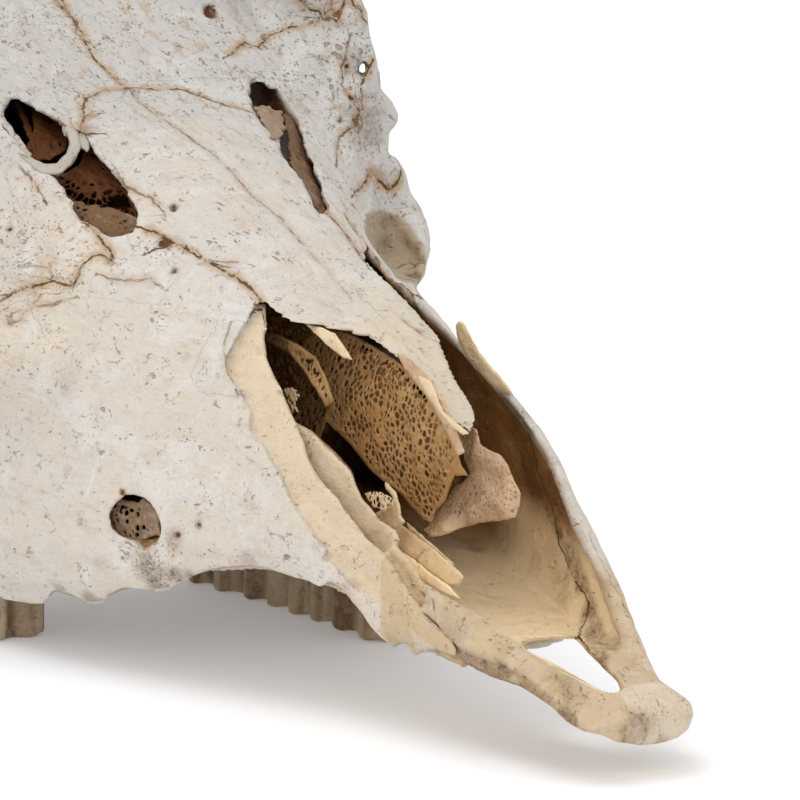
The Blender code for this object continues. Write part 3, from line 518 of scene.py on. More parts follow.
class Cells:
    """Random cells that part space like foam.

    Args:
        scale: Size of a cell in millimetres.
        seed: Number that fixes them.
    """

    COUNT = 24
    SHIFT = 960.0

    def __init__(self, scale: float, seed: int) -> None:
        """Draw the cells' places."""
        self.scale = scale
        shape = (self.COUNT,) * 3 + (3,)
        self.seeds = np.random.default_rng(seed).uniform(0.0, 1.0, shape).astype(np.float32)

    def walls(self, points: np.ndarray) -> np.ndarray:
        """Give the distance from each point to the nearest wall between two cells, in millimetres.

        Args:
            points: Places, one a row.

        Returns:
            The distances.
        """
        scaled = points.astype(np.float32) / self.scale + self.SHIFT
        whole = np.floor(scaled).astype(np.int32)
        first = np.full(len(points), 9.0, dtype=np.float32)
        second = first.copy()
        for shift in np.ndindex(3, 3, 3):
            cell = whole + (np.array(shift) - 1)
            i, j, k = (cell % self.COUNT).T
            away = distance_from(scaled, self.seeds[i, j, k] + cell)
            second = np.minimum(second, np.maximum(first, away))
            first = np.minimum(first, away)
        return (second - first) * (0.5 * self.scale)


@dataclass(frozen=True)
class PhotoView:
    """The camera of the photograph, in millimetres, degrees and pixels."""

    place: Row = (-602.885, -823.606, 224.056)
    turn: float = 34.084
    tilt: float = 9.5
    roll: float = 1.259
    focal: float = 7046.713
    frame: float = 800.0

    def axes(self) -> tuple[np.ndarray, np.ndarray, np.ndarray]:
        """Give the camera's right, up and forward directions.

        Returns:
            The three directions.
        """
        turn, tilt, roll = (math.radians(angle) for angle in (self.turn, self.tilt, self.roll))
        level = math.cos(tilt)
        ahead = np.array((math.sin(turn) * level, math.cos(turn) * level, -math.sin(tilt)))
        right = np.cross(ahead, (0.0, 0.0, 1.0))
        right /= np.linalg.norm(right)
        up = np.cross(right, ahead)
        sine, cosine = math.sin(roll), math.cos(roll)
        return right * cosine + up * sine, up * cosine - right * sine, ahead

    def pixels(self, x: np.ndarray, y: np.ndarray, z: np.ndarray) -> tuple[np.ndarray, np.ndarray]:
        """Project places into the photograph.

        Args:
            x: Places to the left.
            y: Places backwards.
            z: Heights.

        Returns:
            Columns and rows in pixels.
        """
        right, up, ahead = self.axes()
        dx, dy, dz = x - self.place[0], y - self.place[1], z - self.place[2]
        depth = dx * ahead[0] + dy * ahead[1] + dz * ahead[2]
        scale = self.focal / depth
        middle = 0.5 * self.frame
        return (middle + (dx * right[0] + dy * right[1] + dz * right[2]) * scale,
                middle - (dx * up[0] + dy * up[1] + dz * up[2]) * scale)

    def ray(self, px: float, py: float) -> tuple[np.ndarray, np.ndarray]:
        """Give the start and unit direction of the line of sight through a pixel.

        Args:
            px: Place across in the photograph, in pixels.
            py: Place down in the photograph, in pixels.

        Returns:
            The start and the direction.
        """
        right, up, ahead = self.axes()
        middle = 0.5 * self.frame
        way = ahead * self.focal + right * (px - middle) - up * (py - middle)
        return np.array(self.place), way / np.linalg.norm(way)

    def make(self) -> None:
        """Make the camera and use it for the scene."""
        lens = bpy.data.cameras.new("photo_view")
        lens.sensor_width = 36.0
        lens.lens = self.focal / self.frame * lens.sensor_width
        lens.clip_start, lens.clip_end = 0.01, 50.0
        camera = bpy.data.objects.new("photo_view", lens)
        bpy.context.collection.objects.link(camera)
        camera.matrix_world = look_matrix(*self.axes(), to_metres(np.array(self.place)))
        bpy.context.scene.camera = camera


VIEW = PhotoView()


class PixelShape:
    """Distance to an outline in the photograph, in millimetres on the skull.

    Args:
        outline: Corners in pixels.
    """

    PITCH = 2.0
    MARGIN = 290.0

    def __init__(self, outline: Rows) -> None:
        """Measure the outline once."""
        axis = np.arange(-self.MARGIN, VIEW.frame + self.MARGIN, self.PITCH)
        self.grid = outline_distance(outline, axis[:, None], axis[None, :]) / PIXELS_PER_MM

    def at(self, px: np.ndarray, py: np.ndarray) -> np.ndarray:
        """Read the distance at pixels.

        Args:
            px: Places across in the photograph, in pixels.
            py: Places down in the photograph, in pixels.

        Returns:
            Distances in millimetres, negative inside.
        """
        top = len(self.grid) - 2
        u = np.clip((px + self.MARGIN) / self.PITCH, 0.0, top)
        v = np.clip((py + self.MARGIN) / self.PITCH, 0.0, top)
        i, j = u.astype(np.int32), v.astype(np.int32)
        u, v = u - i, v - j
        return ((self.grid[i, j] * (1 - u) + self.grid[i + 1, j] * u) * (1 - v)
                + (self.grid[i, j + 1] * (1 - u) + self.grid[i + 1, j + 1] * u) * v).astype(np.float32)


class Block:
    """A box of space cut into regular steps.

    Args:
        low: Lowest corner in millimetres.
        high: Highest corner.
        step: Size of a step.
    """

    def __init__(self, low: Row, high: Row, step: float = STEP) -> None:
        """Lay out the lattice."""
        self.step = step
        self.first = np.floor(np.array(low) / step + 1e-6).astype(int)
        self.shape = np.ceil(np.array(high) / step - 1e-6).astype(int) - self.first + 1
        along = [((self.first[i] + np.arange(self.shape[i])) * step).astype(np.float32) for i in range(3)]
        self.x, self.y, self.z = along[0][:, None, None], along[1][None, :, None], along[2][None, None, :]
        self._pixels: tuple[np.ndarray, np.ndarray] | None = None

    def pixels(self) -> tuple[np.ndarray, np.ndarray]:
        """Give the pixel that each place falls on."""
        if self._pixels is None:
            px, py = VIEW.pixels(self.x, self.y, self.z)
            self._pixels = px.astype(np.float32), py.astype(np.float32)
        return self._pixels

    def profile(self, stations: Row, levels: Row) -> np.ndarray:
        """Interpolate levels that change along the head."""
        return np.interp(self.y[0, :, 0], stations, levels).astype(np.float32)[None, :, None]

    def points(self, mask: np.ndarray) -> np.ndarray:
        """List the places where a mask is true."""
        return (np.argwhere(mask) + self.first) * self.step

    def read(self, values: np.ndarray, points: np.ndarray) -> np.ndarray:
        """Read an array of this block at any points.

        Args:
            values: Array over this block.
            points: Places, one a row.

        Returns:
            Values at the points.
        """
        place = np.clip(points / self.step - self.first, 0.0, self.shape - 1.001)
        cell = place.astype(np.int32)
        part = (place - cell).astype(np.float32)
        i, j, k = cell.T
        u, v, w = part.T
        values = np.broadcast_to(values, tuple(self.shape))
        low = (values[i, j, k] * (1 - u) + values[i + 1, j, k] * u) * (1 - v) \
            + (values[i, j + 1, k] * (1 - u) + values[i + 1, j + 1, k] * u) * v
        k = k + 1
        high = (values[i, j, k] * (1 - u) + values[i + 1, j, k] * u) * (1 - v) \
            + (values[i, j + 1, k] * (1 - u) + values[i + 1, j + 1, k] * u) * v
        return low * (1 - w) + high * w

    def limb(self, limb: Limb, side: int = 1) -> np.ndarray:
        """Measure the distance to a limb from every place.

        Args:
            limb: The limb.
            side: 1 for the left side, -1 for the right.

        Returns:
            Distance array.
        """
        nearest = np.full(tuple(self.shape), FAR_AWAY, dtype=np.float32)
        knots = list(zip(limb.line, limb.radii))
        for (start, wide), (end, narrow) in zip(knots, knots[1:]):
            a = np.array((side * start[0], start[1], start[2]))
            b = np.array((side * end[0], end[1], end[2]))
            span = b - a
            dx, dy, dz = self.x - a[0], self.y - a[1], self.z - a[2]
            t = np.clip((dx * span[0] + dy * span[1] + dz * span[2]) / (span @ span), 0.0, 1.0)
            away = np.sqrt(((dx - t * span[0]) / limb.flatten) ** 2 + (dy - t * span[1]) ** 2
                           + (dz - t * span[2]) ** 2) - (wide + (narrow - wide) * t)
            nearest = np.minimum(nearest, away.astype(np.float32))
        return nearest * min(limb.flatten, 1.0)


class SkullForm:
    """The whole head as distances on one lattice.

    The skin is its outer surface; the flesh is the same with the sockets and canals taken out.
    """

    LOW: Row = (-62.0, -6.0, -12.0)
    HIGH: Row = (62.0, 268.0, 116.0)
    STATION = 1.5
    ARC_STEPS = 6
    CUP: Row = (396.0, 247.0)
    CUP_REACH = 13.0
    CUP_DEPTH = 2.4
    CUP_RISE = 1.3
    CUP_SLOPE: Row = (0.25, -2.8)
    RIM_REACH = 20.0
    RIM_THICK = 4.6
    SOCKET_DEEP = 31.0
    SOCKET_WIDE = 17.5
    HOLE_LEAST = 0.45
    HOLE_DEEP = 0.5
    HOLE_BLEND = 0.35
    SIGHT: Row = (850.0, 1400.0, 0.25)

    def __init__(self) -> None:
        """Build the head's form and open it."""
        self.block = Block(self.LOW, self.HIGH)
        self.cup_shape = PixelShape(CUP_EDGE)
        self.skin = self._sections()
        for limb in MASSES:
            for side in (1, -1) if limb.paired else (1,):
                self._apply(self.skin, limb, side, True)
        self._rims()
        self._cups()
        self.flesh = self.skin.copy()
        for limb in HOLLOWS + (CHEEK_CANAL,):
            for side in (1, -1) if limb.paired else (1,):
                self._apply(self.flesh, limb, side, False)
        self._sockets()
        self._foramina()

    def _sections(self) -> np.ndarray:
        """Measure the distance to the lofted head sections.

        Returns:
            Distances, negative inside.
        """
        first, last = HEAD_SECTIONS[0][0], HEAD_SECTIONS[-1][0]
        rows = smooth_rows(HEAD_SECTIONS, np.linspace(first, last, int((last - first) / self.STATION) + 1))
        y, crown, xs, zs, xm, zm, xb, zb, under = rows.T
        none = np.zeros_like(y)
        corners = ((none, crown), (xs, zs), (xm, zm), (xb, zb),
                   (none, under), (-xb, zb), (-xm, zm), (-xs, zs))
        keys = np.stack([np.stack(pair, axis=1) for pair in corners], axis=1)
        before, ahead, after = (np.roll(keys, shift, axis=1) for shift in (1, -1, -2))
        rings = []
        for step in range(self.ARC_STEPS):
            t = step / self.ARC_STEPS
            curve = 2 * keys + (ahead - before) * t
            curve = curve + (2 * before - 5 * keys + 4 * ahead - after) * t ** 2
            rings.append(0.5 * (curve + (3 * keys - before - 3 * ahead + after) * t ** 3))
        ring = np.stack(rings, axis=2).reshape(len(y), -1, 2)
        count, size = ring.shape[:2]
        points = np.empty((count, size, 3))
        points[:, :, 0], points[:, :, 2] = ring[:, :, 0], ring[:, :, 1]
        points[:, :, 1] = y[:, None]
        ends = points[0].mean(axis=0)[None], points[-1].mean(axis=0)[None]
        points = np.concatenate([points.reshape(-1, 3), *ends])
        step = np.arange(size)
        beside = (step + 1) % size
        near = np.arange(count - 1)[:, None] * size
        quads = np.stack([near + step, near + size + step, near + size + beside, near + beside], axis=2)
        last_ring = (count - 1) * size
        fans = np.concatenate([
            np.stack([np.full(size, count * size), step, beside], axis=1),
            np.stack([np.full(size, count * size + 1), last_ring + beside, last_ring + step], axis=1)])
        grid = openvdb.FloatGrid.createLevelSetFromPolygons(
            points.astype(np.float32), triangles=fans.astype(np.uint32),
            quads=quads.reshape(-1, 4).astype(np.uint32),
            transform=openvdb.createLinearTransform(STEP), halfWidth=BAND / STEP)
        values = np.zeros(tuple(self.block.shape), dtype=np.float32)
        grid.copyToArray(values, ijk=tuple(int(n) for n in self.block.first))
        return values

    def window(self, low: np.ndarray, high: np.ndarray) -> tuple[Block, tuple[slice, ...]]:
        """Give a smaller block on the same lattice and where it lies in the arrays.

        Args:
            low: Lowest corner.
            high: Highest corner.

        Returns:
            The block and its place in the arrays.
        """
        low = np.clip(low, self.LOW, self.HIGH)
        high = np.clip(high, self.LOW, self.HIGH)
        part = Block(tuple(low), tuple(high))
        start = part.first - self.block.first
        part.shape = np.minimum(part.shape, self.block.shape - start)
        part = Block(tuple(part.first * STEP), tuple((part.first + part.shape - 1) * STEP))
        return part, tuple(slice(int(start[i]), int(start[i] + part.shape[i])) for i in range(3))

    def _apply(self, values: np.ndarray, limb: Limb, side: int, add: bool) -> None:
        """Melt one limb into an array, or take it out.

        Args:
            values: Array over the head's block, which is changed.
            limb: The limb.
            side: 1 for the left side, -1 for the right.
            add: Whether it is added, not taken out.
        """
        line = np.array(limb.line) * (side, 1.0, 1.0)
        room = max(limb.radii) * max(limb.flatten, 1.0) + limb.blend + 1.0
        part, place = self.window(line.min(axis=0) - room, line.max(axis=0) + room)
        away = part.limb(limb, side)
        combine = join if add else cut
        values[place] = combine(values[place], away, limb.blend)

    def _rims(self) -> None:
        """Melt the rims of the eye sockets into the skin."""
        x0, y0, z0 = ORBIT_CENTRE
        for side in (1, -1):
            middle = np.array((side * x0, y0, z0))
            part, place = self.window(middle - (16.0, 30.0, 30.0), middle + (16.0, 30.0, 30.0))
            dy, dz = part.y - y0, part.z - z0
            ring = np.sqrt(dy ** 2 + dz ** 2) + 1e-6
            lean = x0 + 1.5 - dy / ring - 3.5 * dz / ring
            offset = part.x * side - lean
            offset = np.where(offset < 0.0, np.minimum(offset + 12.0, 0.0), offset)
            away = np.sqrt((ring - self.RIM_REACH) ** 2 + (offset / 0.8) ** 2) - self.RIM_THICK
            self.skin[place] = join(self.skin[place], (away * 0.9).astype(np.float32), 4.0)

    def _sockets(self) -> None:
        """Hollow out the eye sockets."""
        x0, y0, z0 = ORBIT_CENTRE
        for side in (1, -1):
            middle = np.array((side * (x0 + 4.0), y0, z0))
            part, place = self.window(middle - (36.0, 24.0, 24.0), middle + (36.0, 24.0, 24.0))
            wide = self.SOCKET_WIDE
            bowl = np.sqrt(((part.x - middle[0]) / self.SOCKET_DEEP) ** 2 + ((part.y - y0) / wide) ** 2
                           + ((part.z - z0) / wide) ** 2)
            self.flesh[place] = cut(self.flesh[place], ((bowl - 1.0) * wide).astype(np.float32), 2.0)

    def _cups(self) -> None:
        """Press the smooth cup into the front end of the left cheek arch."""
        self.cup = self.surface_point(*self.CUP)
        part, place = self.window(self.cup - self.CUP_REACH, self.cup + self.CUP_REACH)
        away = self.cup_shape.at(*part.pixels())
        deep = self.CUP_DEPTH - self.CUP_RISE * step_up(-2.5, 1.5, part.z - self.cup[2])
        self.skin[place] = self.skin[place] + deep * step_up(*self.CUP_SLOPE, away)

    def _foramina(self) -> None:
        """Pierce the small openings for vessels, on both sides."""
        for px, py, radius in SMALL_HOLES:
            _, way = VIEW.ray(px, py)
            start = self.surface_point(px, py)
            line = tuple(start - way), tuple(start + way * self.HOLE_DEEP)
            wide = max(radius / PIXELS_PER_MM, self.HOLE_LEAST)
            for side in (1, -1):
                self._apply(self.flesh, Limb(line, (wide, wide), 1.0, self.HOLE_BLEND), side, False)

    def surface_point(self, px: float, py: float) -> np.ndarray:
        """Find where the line of sight through a pixel meets the skin.

        Args:
            px: Place across in the photograph, in pixels.
            py: Place down in the photograph, in pixels.

        Returns:
            The place.
        """
        start, way = VIEW.ray(px, py)
        points = start + np.arange(*self.SIGHT)[:, None] * way
        points = points[np.all((points > self.LOW) & (points < self.HIGH), axis=1)]
        hit = np.flatnonzero(self.block.read(self.skin, points) < 0.0)
        return points[hit[0]] if len(hit) else points[len(points) // 2]


class Shell:
    """A mesh drawn round the negative side of a distance array.

    Args:
        block: Where the array lies.
        values: Distances.
        pieces: How many of its largest separate parts are kept; 0 keeps all.
        stride: How many steps of the block make one step of the mesh.
    """

    def __init__(self, block: Block, values: np.ndarray, pieces: int = 1, stride: int = 1) -> None:
        """Make the mesh."""
        self.block = block
        bound = 3.0 * block.step * stride
        values = np.clip(np.broadcast_to(values, tuple(block.shape)), -bound, bound).astype(np.float32)
        values = values[::stride, ::stride, ::stride]
        edged = np.full(tuple(count + 2 for count in values.shape), bound, dtype=np.float32)
        edged[1:-1, 1:-1, 1:-1] = values
        grid = openvdb.FloatGrid(bound)
        grid.copyFromArray(edged)
        points, _, quads = grid.convertToPolygons(isovalue=0.0, adaptivity=0.0)
        self.points = ((np.asarray(points) - 1) * stride + block.first) * block.step
        self.faces = np.asarray(quads).astype(np.int64)
        if pieces:
            self._drop_crumbs(pieces)
        self.normals = self._normals()
        if (self.points * self.normals).sum() < 0.0 or self._volume() < 0.0:
            self.faces = self.faces[:, ::-1].copy()
            self.normals = self._normals()

    def _volume(self) -> float:
        """Give six times the signed volume."""
        a, b, c, d = (self.points[self.faces[:, i]] for i in range(4))
        return float((np.cross(a, b) * c).sum() + (np.cross(a, c) * d).sum())

    def _normals(self) -> np.ndarray:
        """Average the face directions at every point.

        Returns:
            Unit directions, one a point.
        """
        a, b, c, d = (self.points[self.faces[:, i]] for i in range(4))
        turned = np.cross(c - a, d - b)
        count = len(self.points)
        total = np.stack([sum(np.bincount(self.faces[:, i], turned[:, axis], count) for i in range(4))
                          for axis in range(3)], axis=1)
        return total / np.maximum(np.linalg.norm(total, axis=1, keepdims=True), 1e-9)

    def _drop_crumbs(self, pieces: int) -> None:
        """Keep only the largest separate parts.

        Args:
            pieces: How many parts are kept.
        """
        ends = np.concatenate([self.faces[:, (0, 1)], self.faces[:, (1, 2)], self.faces[:, (2, 3)]])
        label = np.arange(len(self.points))
        while True:
            first, second = label[ends[:, 0]], label[ends[:, 1]]
            apart = first != second
            if not apart.any():
                break
            low, high = np.minimum(first[apart], second[apart]), np.maximum(first[apart], second[apart])
            np.minimum.at(label, high, low)
            while True:
                shorter = label[label]
                if np.array_equal(shorter, label):
                    break
                label = shorter
        names, counts = np.unique(label, return_counts=True)
        kept = np.isin(label, names[np.argsort(counts)[-pieces:]])
        index = np.cumsum(kept) - 1
        self.points = self.points[kept]
        self.faces = index[self.faces[kept[self.faces[:, 0]]]]

    def push(self, amount: np.ndarray) -> None:
        """Move every point along its normal."""
        self.points = self.points + self.normals * amount[:, None]

    def pixels(self) -> tuple[np.ndarray, np.ndarray]:
        """Give the pixel that each point falls on."""
        return VIEW.pixels(*self.points.T)


def make_object(name: str, shells: list[Shell | Sheath], marks: list[Marks],
                material: bpy.types.Material) -> bpy.types.Object:
    """Join shells into one Blender object.

    Args:
        name: Name of the piece.
        shells: Its meshes.
        marks: The marks of each shell.
        material: Its finish.

    Returns:
        The new object.
    """
    counts = [len(shell.points) for shell in shells]
    starts = np.cumsum([0] + counts[:-1])
    points = to_metres(np.concatenate([shell.points for shell in shells]))
    faces = np.concatenate([shell.faces + start for shell, start in zip(shells, starts)])
    mesh = bpy.data.meshes.new(name)
    mesh.vertices.add(len(points))
    mesh.vertices.foreach_set("co", points.astype(np.float32).ravel())
    mesh.loops.add(faces.size)
    mesh.loops.foreach_set("vertex_index", faces.astype(np.int32).ravel())
    mesh.polygons.add(len(faces))
    mesh.polygons.foreach_set("loop_start", np.arange(0, faces.size, faces.shape[1], dtype=np.int32))
    for mark in marks[0]:
        layer = mesh.attributes.new(mark, "FLOAT", "POINT")
        values = np.concatenate([each[mark] for each in marks])
        layer.data.foreach_set("value", values.astype(np.float32))
    mesh.update(calc_edges=True)
    mesh.validate()
    mesh.shade_smooth()
    made = bpy.data.objects.new(name, mesh)
    bpy.context.collection.objects.link(made)
    mesh.materials.append(material)
    return made


class Side(Enum):
    """One side of the animal."""

    LEFT = 1
    RIGHT = -1

    @property
    def word(self) -> str:
        """The side's name in node names."""
        return self.name.lower()


class Sutures:
    """The bones' shares of the head, parted by wavering seams."""

    WAVE = 0.9
    WAVE_LENGTH = 3.2
    # Outline of each side bone and where it starts, measured from the middle.
    SIDE_BONES = {"lacrimal": (LACRIMAL_SIDE, 12.0), "zygomatic": (ZYGOMATIC_SIDE, 30.0),
                  "temporal": (TEMPORAL_SIDE, 21.0)}
    REST = {"occipital": OCCIPITAL_SIDE, "parietal": PARIETAL_SIDE, "maxilla": MAXILLA_SIDE}

    def __init__(self) -> None:
        """Make the noises that bend the seams."""
        self.noise = (Noise(self.WAVE_LENGTH, 11), Noise(self.WAVE_LENGTH, 12), Noise(1.3, 13))

    def side_view(self, outline: Rows, block: Block) -> np.ndarray:
        """Measure an outline drawn from the side over a block.

        Args:
            outline: The closed outline.
            block: Lattice of places.

        Returns:
            Distances, negative inside.
        """
        y, z = block.y[0, :, 0][:, None], block.z[0, 0, :][None, :]
        none = np.zeros(1, dtype=np.float32)
        wave_y = self.WAVE * self.noise[0].at(none, y, z) + 0.35 * self.noise[2].at(none, y, z)
        wave_z = self.WAVE * self.noise[1].at(none, y, z) + 0.35 * self.noise[2].at(none + 40.0, y, z)
        return outline_distance(outline, y + wave_y, z + wave_z)[None]

    def top_view(self, outline: Rows, block: Block) -> np.ndarray:
        """Measure an outline drawn from above over a block.

        Args:
            outline: The closed outline.
            block: Lattice of places.

        Returns:
            Distances, negative inside.
        """
        x, y = block.x[:, 0, 0][:, None], block.y[0, :, 0][None, :]
        none = np.zeros(1, dtype=np.float32)
        wave = 0.5 * self.noise[0].at(x, y, none) + 0.3 * self.noise[2].at(x, y, none)
        return outline_distance(outline, x + wave, y + wave)[:, :, None]

    def middle(self, block: Block) -> np.ndarray:
        """Give the wavering plane between the two sides: positive on the left."""
        place = np.zeros(1, dtype=np.float32), block.y, block.z
        return block.x + 0.8 * self.noise[0].at(*place) + 0.4 * self.noise[2].at(*place)

    def beyond(self, block: Block, side: Side, reach: float) -> np.ndarray:
        """Be negative farther out than a reach on one side."""
        return reach - block.x * side.value

    def nasal(self, block: Block) -> np.ndarray:
        """Be negative in both nasal bones.

        Args:
            block: Lattice of places.

        Returns:
            Distances, negative inside.
        """
        stations = np.clip(block.y[0, :, 0], HEAD_SECTIONS[0][0], HEAD_SECTIONS[-1][0])
        crown = smooth_rows(HEAD_SECTIONS, stations.astype(float))[:, 1].astype(np.float32)
        under = (crown - NASAL_DEPTH)[None, :, None] - block.z
        return np.maximum(self.top_view(half_outline(NASAL_TOP), block), under)

    def shares(self, block: Block) -> dict[str, np.ndarray]:
        """Measure every bone's own share, in the order in which they are taken.

        Args:
            block: Lattice of places.

        Returns:
            Each bone's distances by name.
        """
        shares = {"nasal": self.nasal(block)}
        for side, outline in ((Side.LEFT, LEFT_PREMAXILLA), (Side.RIGHT, RIGHT_PREMAXILLA)):
            share = self.side_view(outline, block)
            shares[f"premaxilla_{side.word}"] = np.maximum(share, self.beyond(block, side, 0.1))
        shares["frontal"] = self.side_view(FRONTAL_SIDE, block)
        for name, (outline, reach) in self.SIDE_BONES.items():
            for side in Side:
                share = self.side_view(outline, block)
                shares[f"{name}_{side.word}"] = np.maximum(share, self.beyond(block, side, reach))
        for name, outline in self.REST.items():
            shares[name] = self.side_view(outline, block)
        return shares

    def share(self, block: Block, node: str) -> np.ndarray:
        """Be negative in one node's share of the head.

        Args:
            block: Where to measure.
            node: Name of the CAD node.

        Returns:
            Distance array, negative in the share.
        """
        shares = self.shares(block)
        bare = node.rsplit("_", 1)[0] if node.endswith(("_left", "_right")) else node
        own = node if node in shares else bare
        result = np.full((1, 1, 1), -FAR_AWAY, dtype=np.float32)
        for name, value in shares.items():
            if name == own:
                result = np.maximum(result, value)
                break
            result = np.maximum(result, -value)
        if own == bare and node != bare:
            middle = self.middle(block)
            result = np.maximum(result, -middle if node.endswith("_left") else middle)
        return result


class Inside:
    """The nose cavity and the dark chambers under the side openings."""

    FRONT = 8.0
    END = 118.0
    WALL = 1.6
    INNER_WALL = 1.5

    def __init__(self) -> None:
        """Make the noise of the uneven walls."""
        self.noise = Noise(7.0, 21)

    def hollow(self, block: Block, skin: np.ndarray) -> np.ndarray:
        """Measure the nose cavity.

        Args:
            block: Lattice of places.
            skin: Distance to the head's skin.

        Returns:
            Distances, negative inside.
        """
        wall = self.WALL + 0.35 * self.noise.over(block)
        canals = (self.INNER_WALL - block.limb(CHEEK_CANAL, side) for side in (1, -1))
        return overlap(skin + wall, block.y - self.END, block.profile(FLOOR_Y, FLOOR_Z) - block.z,
                       *canals, self.FRONT - block.y)

    def chambers(self, block: Block, skin: np.ndarray) -> np.ndarray:
        """Measure the chambers behind the openings in front of the eyes."""
        both = np.minimum(block.limb(CHAMBER, 1), block.limb(CHAMBER, -1))
        return np.maximum(both, skin + self.INNER_WALL)


class Plate(Enum):
    """How a plate in the nose looks; the value is its word in the names of pieces."""

    CRUSTY = "crusty"
    NOSE = "nose"
    WHITE = "white"


@dataclass(frozen=True)
class Leaf:
    """A thin plate, drawn in the photograph and set upright at a depth.

    Attributes:
        outline: Corners in pixels.
        place: Distance from the middle at the reference, then its slope backwards and upwards.
        reference: Distance from the muzzle tip and height of the reference.
        thick: Thickness.
        bend: How far it bows at ten millimetres above and below the reference.
        pores: Size of the pores' cells and width of the struts, or nothing.
        crumple: Height of its unevenness.
        finish: How it looks.
    """

    outline: Rows
    place: Row
    reference: Row
    thick: float = 1.0
    bend: float = 0.0
    pores: Row = ()
    crumple: float = 0.4
    finish: Plate = Plate.NOSE

    def values(self, block: Block, noise: Noise, cells: dict[float, Cells]) -> np.ndarray:
        """Measure the leaf over a block.

        Args:
            block: Where to measure.
            noise: Unevenness.
            cells: Foam for each pore size.

        Returns:
            Distance array.
        """
        x0, back, up = self.place
        dy, dz = block.y - self.reference[0], block.z - self.reference[1]
        middle = x0 + back * dy + up * dz + self.bend * (dz / 10.0) ** 2
        middle = middle + self.crumple * noise.at(block.x * 0.3, block.y, block.z)
        away = np.abs(block.x - middle) / math.sqrt(1.0 + back ** 2 + up ** 2) - 0.5 * self.thick
        rim = PixelShape(self.outline).at(*block.pixels())
        values = cut(away, -rim, 0.5)
        if self.pores:
            size, strut = self.pores
            near = values < 0.4
            values = np.array(values)
            places = block.points(near)
            x, y, z = places.T
            width = strut * (1.0 + 0.55 * noise.at(x, y * 0.8, z * 0.8 + 9.0))
            foam = cells.setdefault(size, Cells(size, 31)).walls(places * (0.15, 1.0, 1.0)) - width
            foam = np.minimum(foam, -(0.7 if size > 0.9 else 0.15) - rim[near])
            values[near] = cut(values[near], -foam, 0.25)
        return values


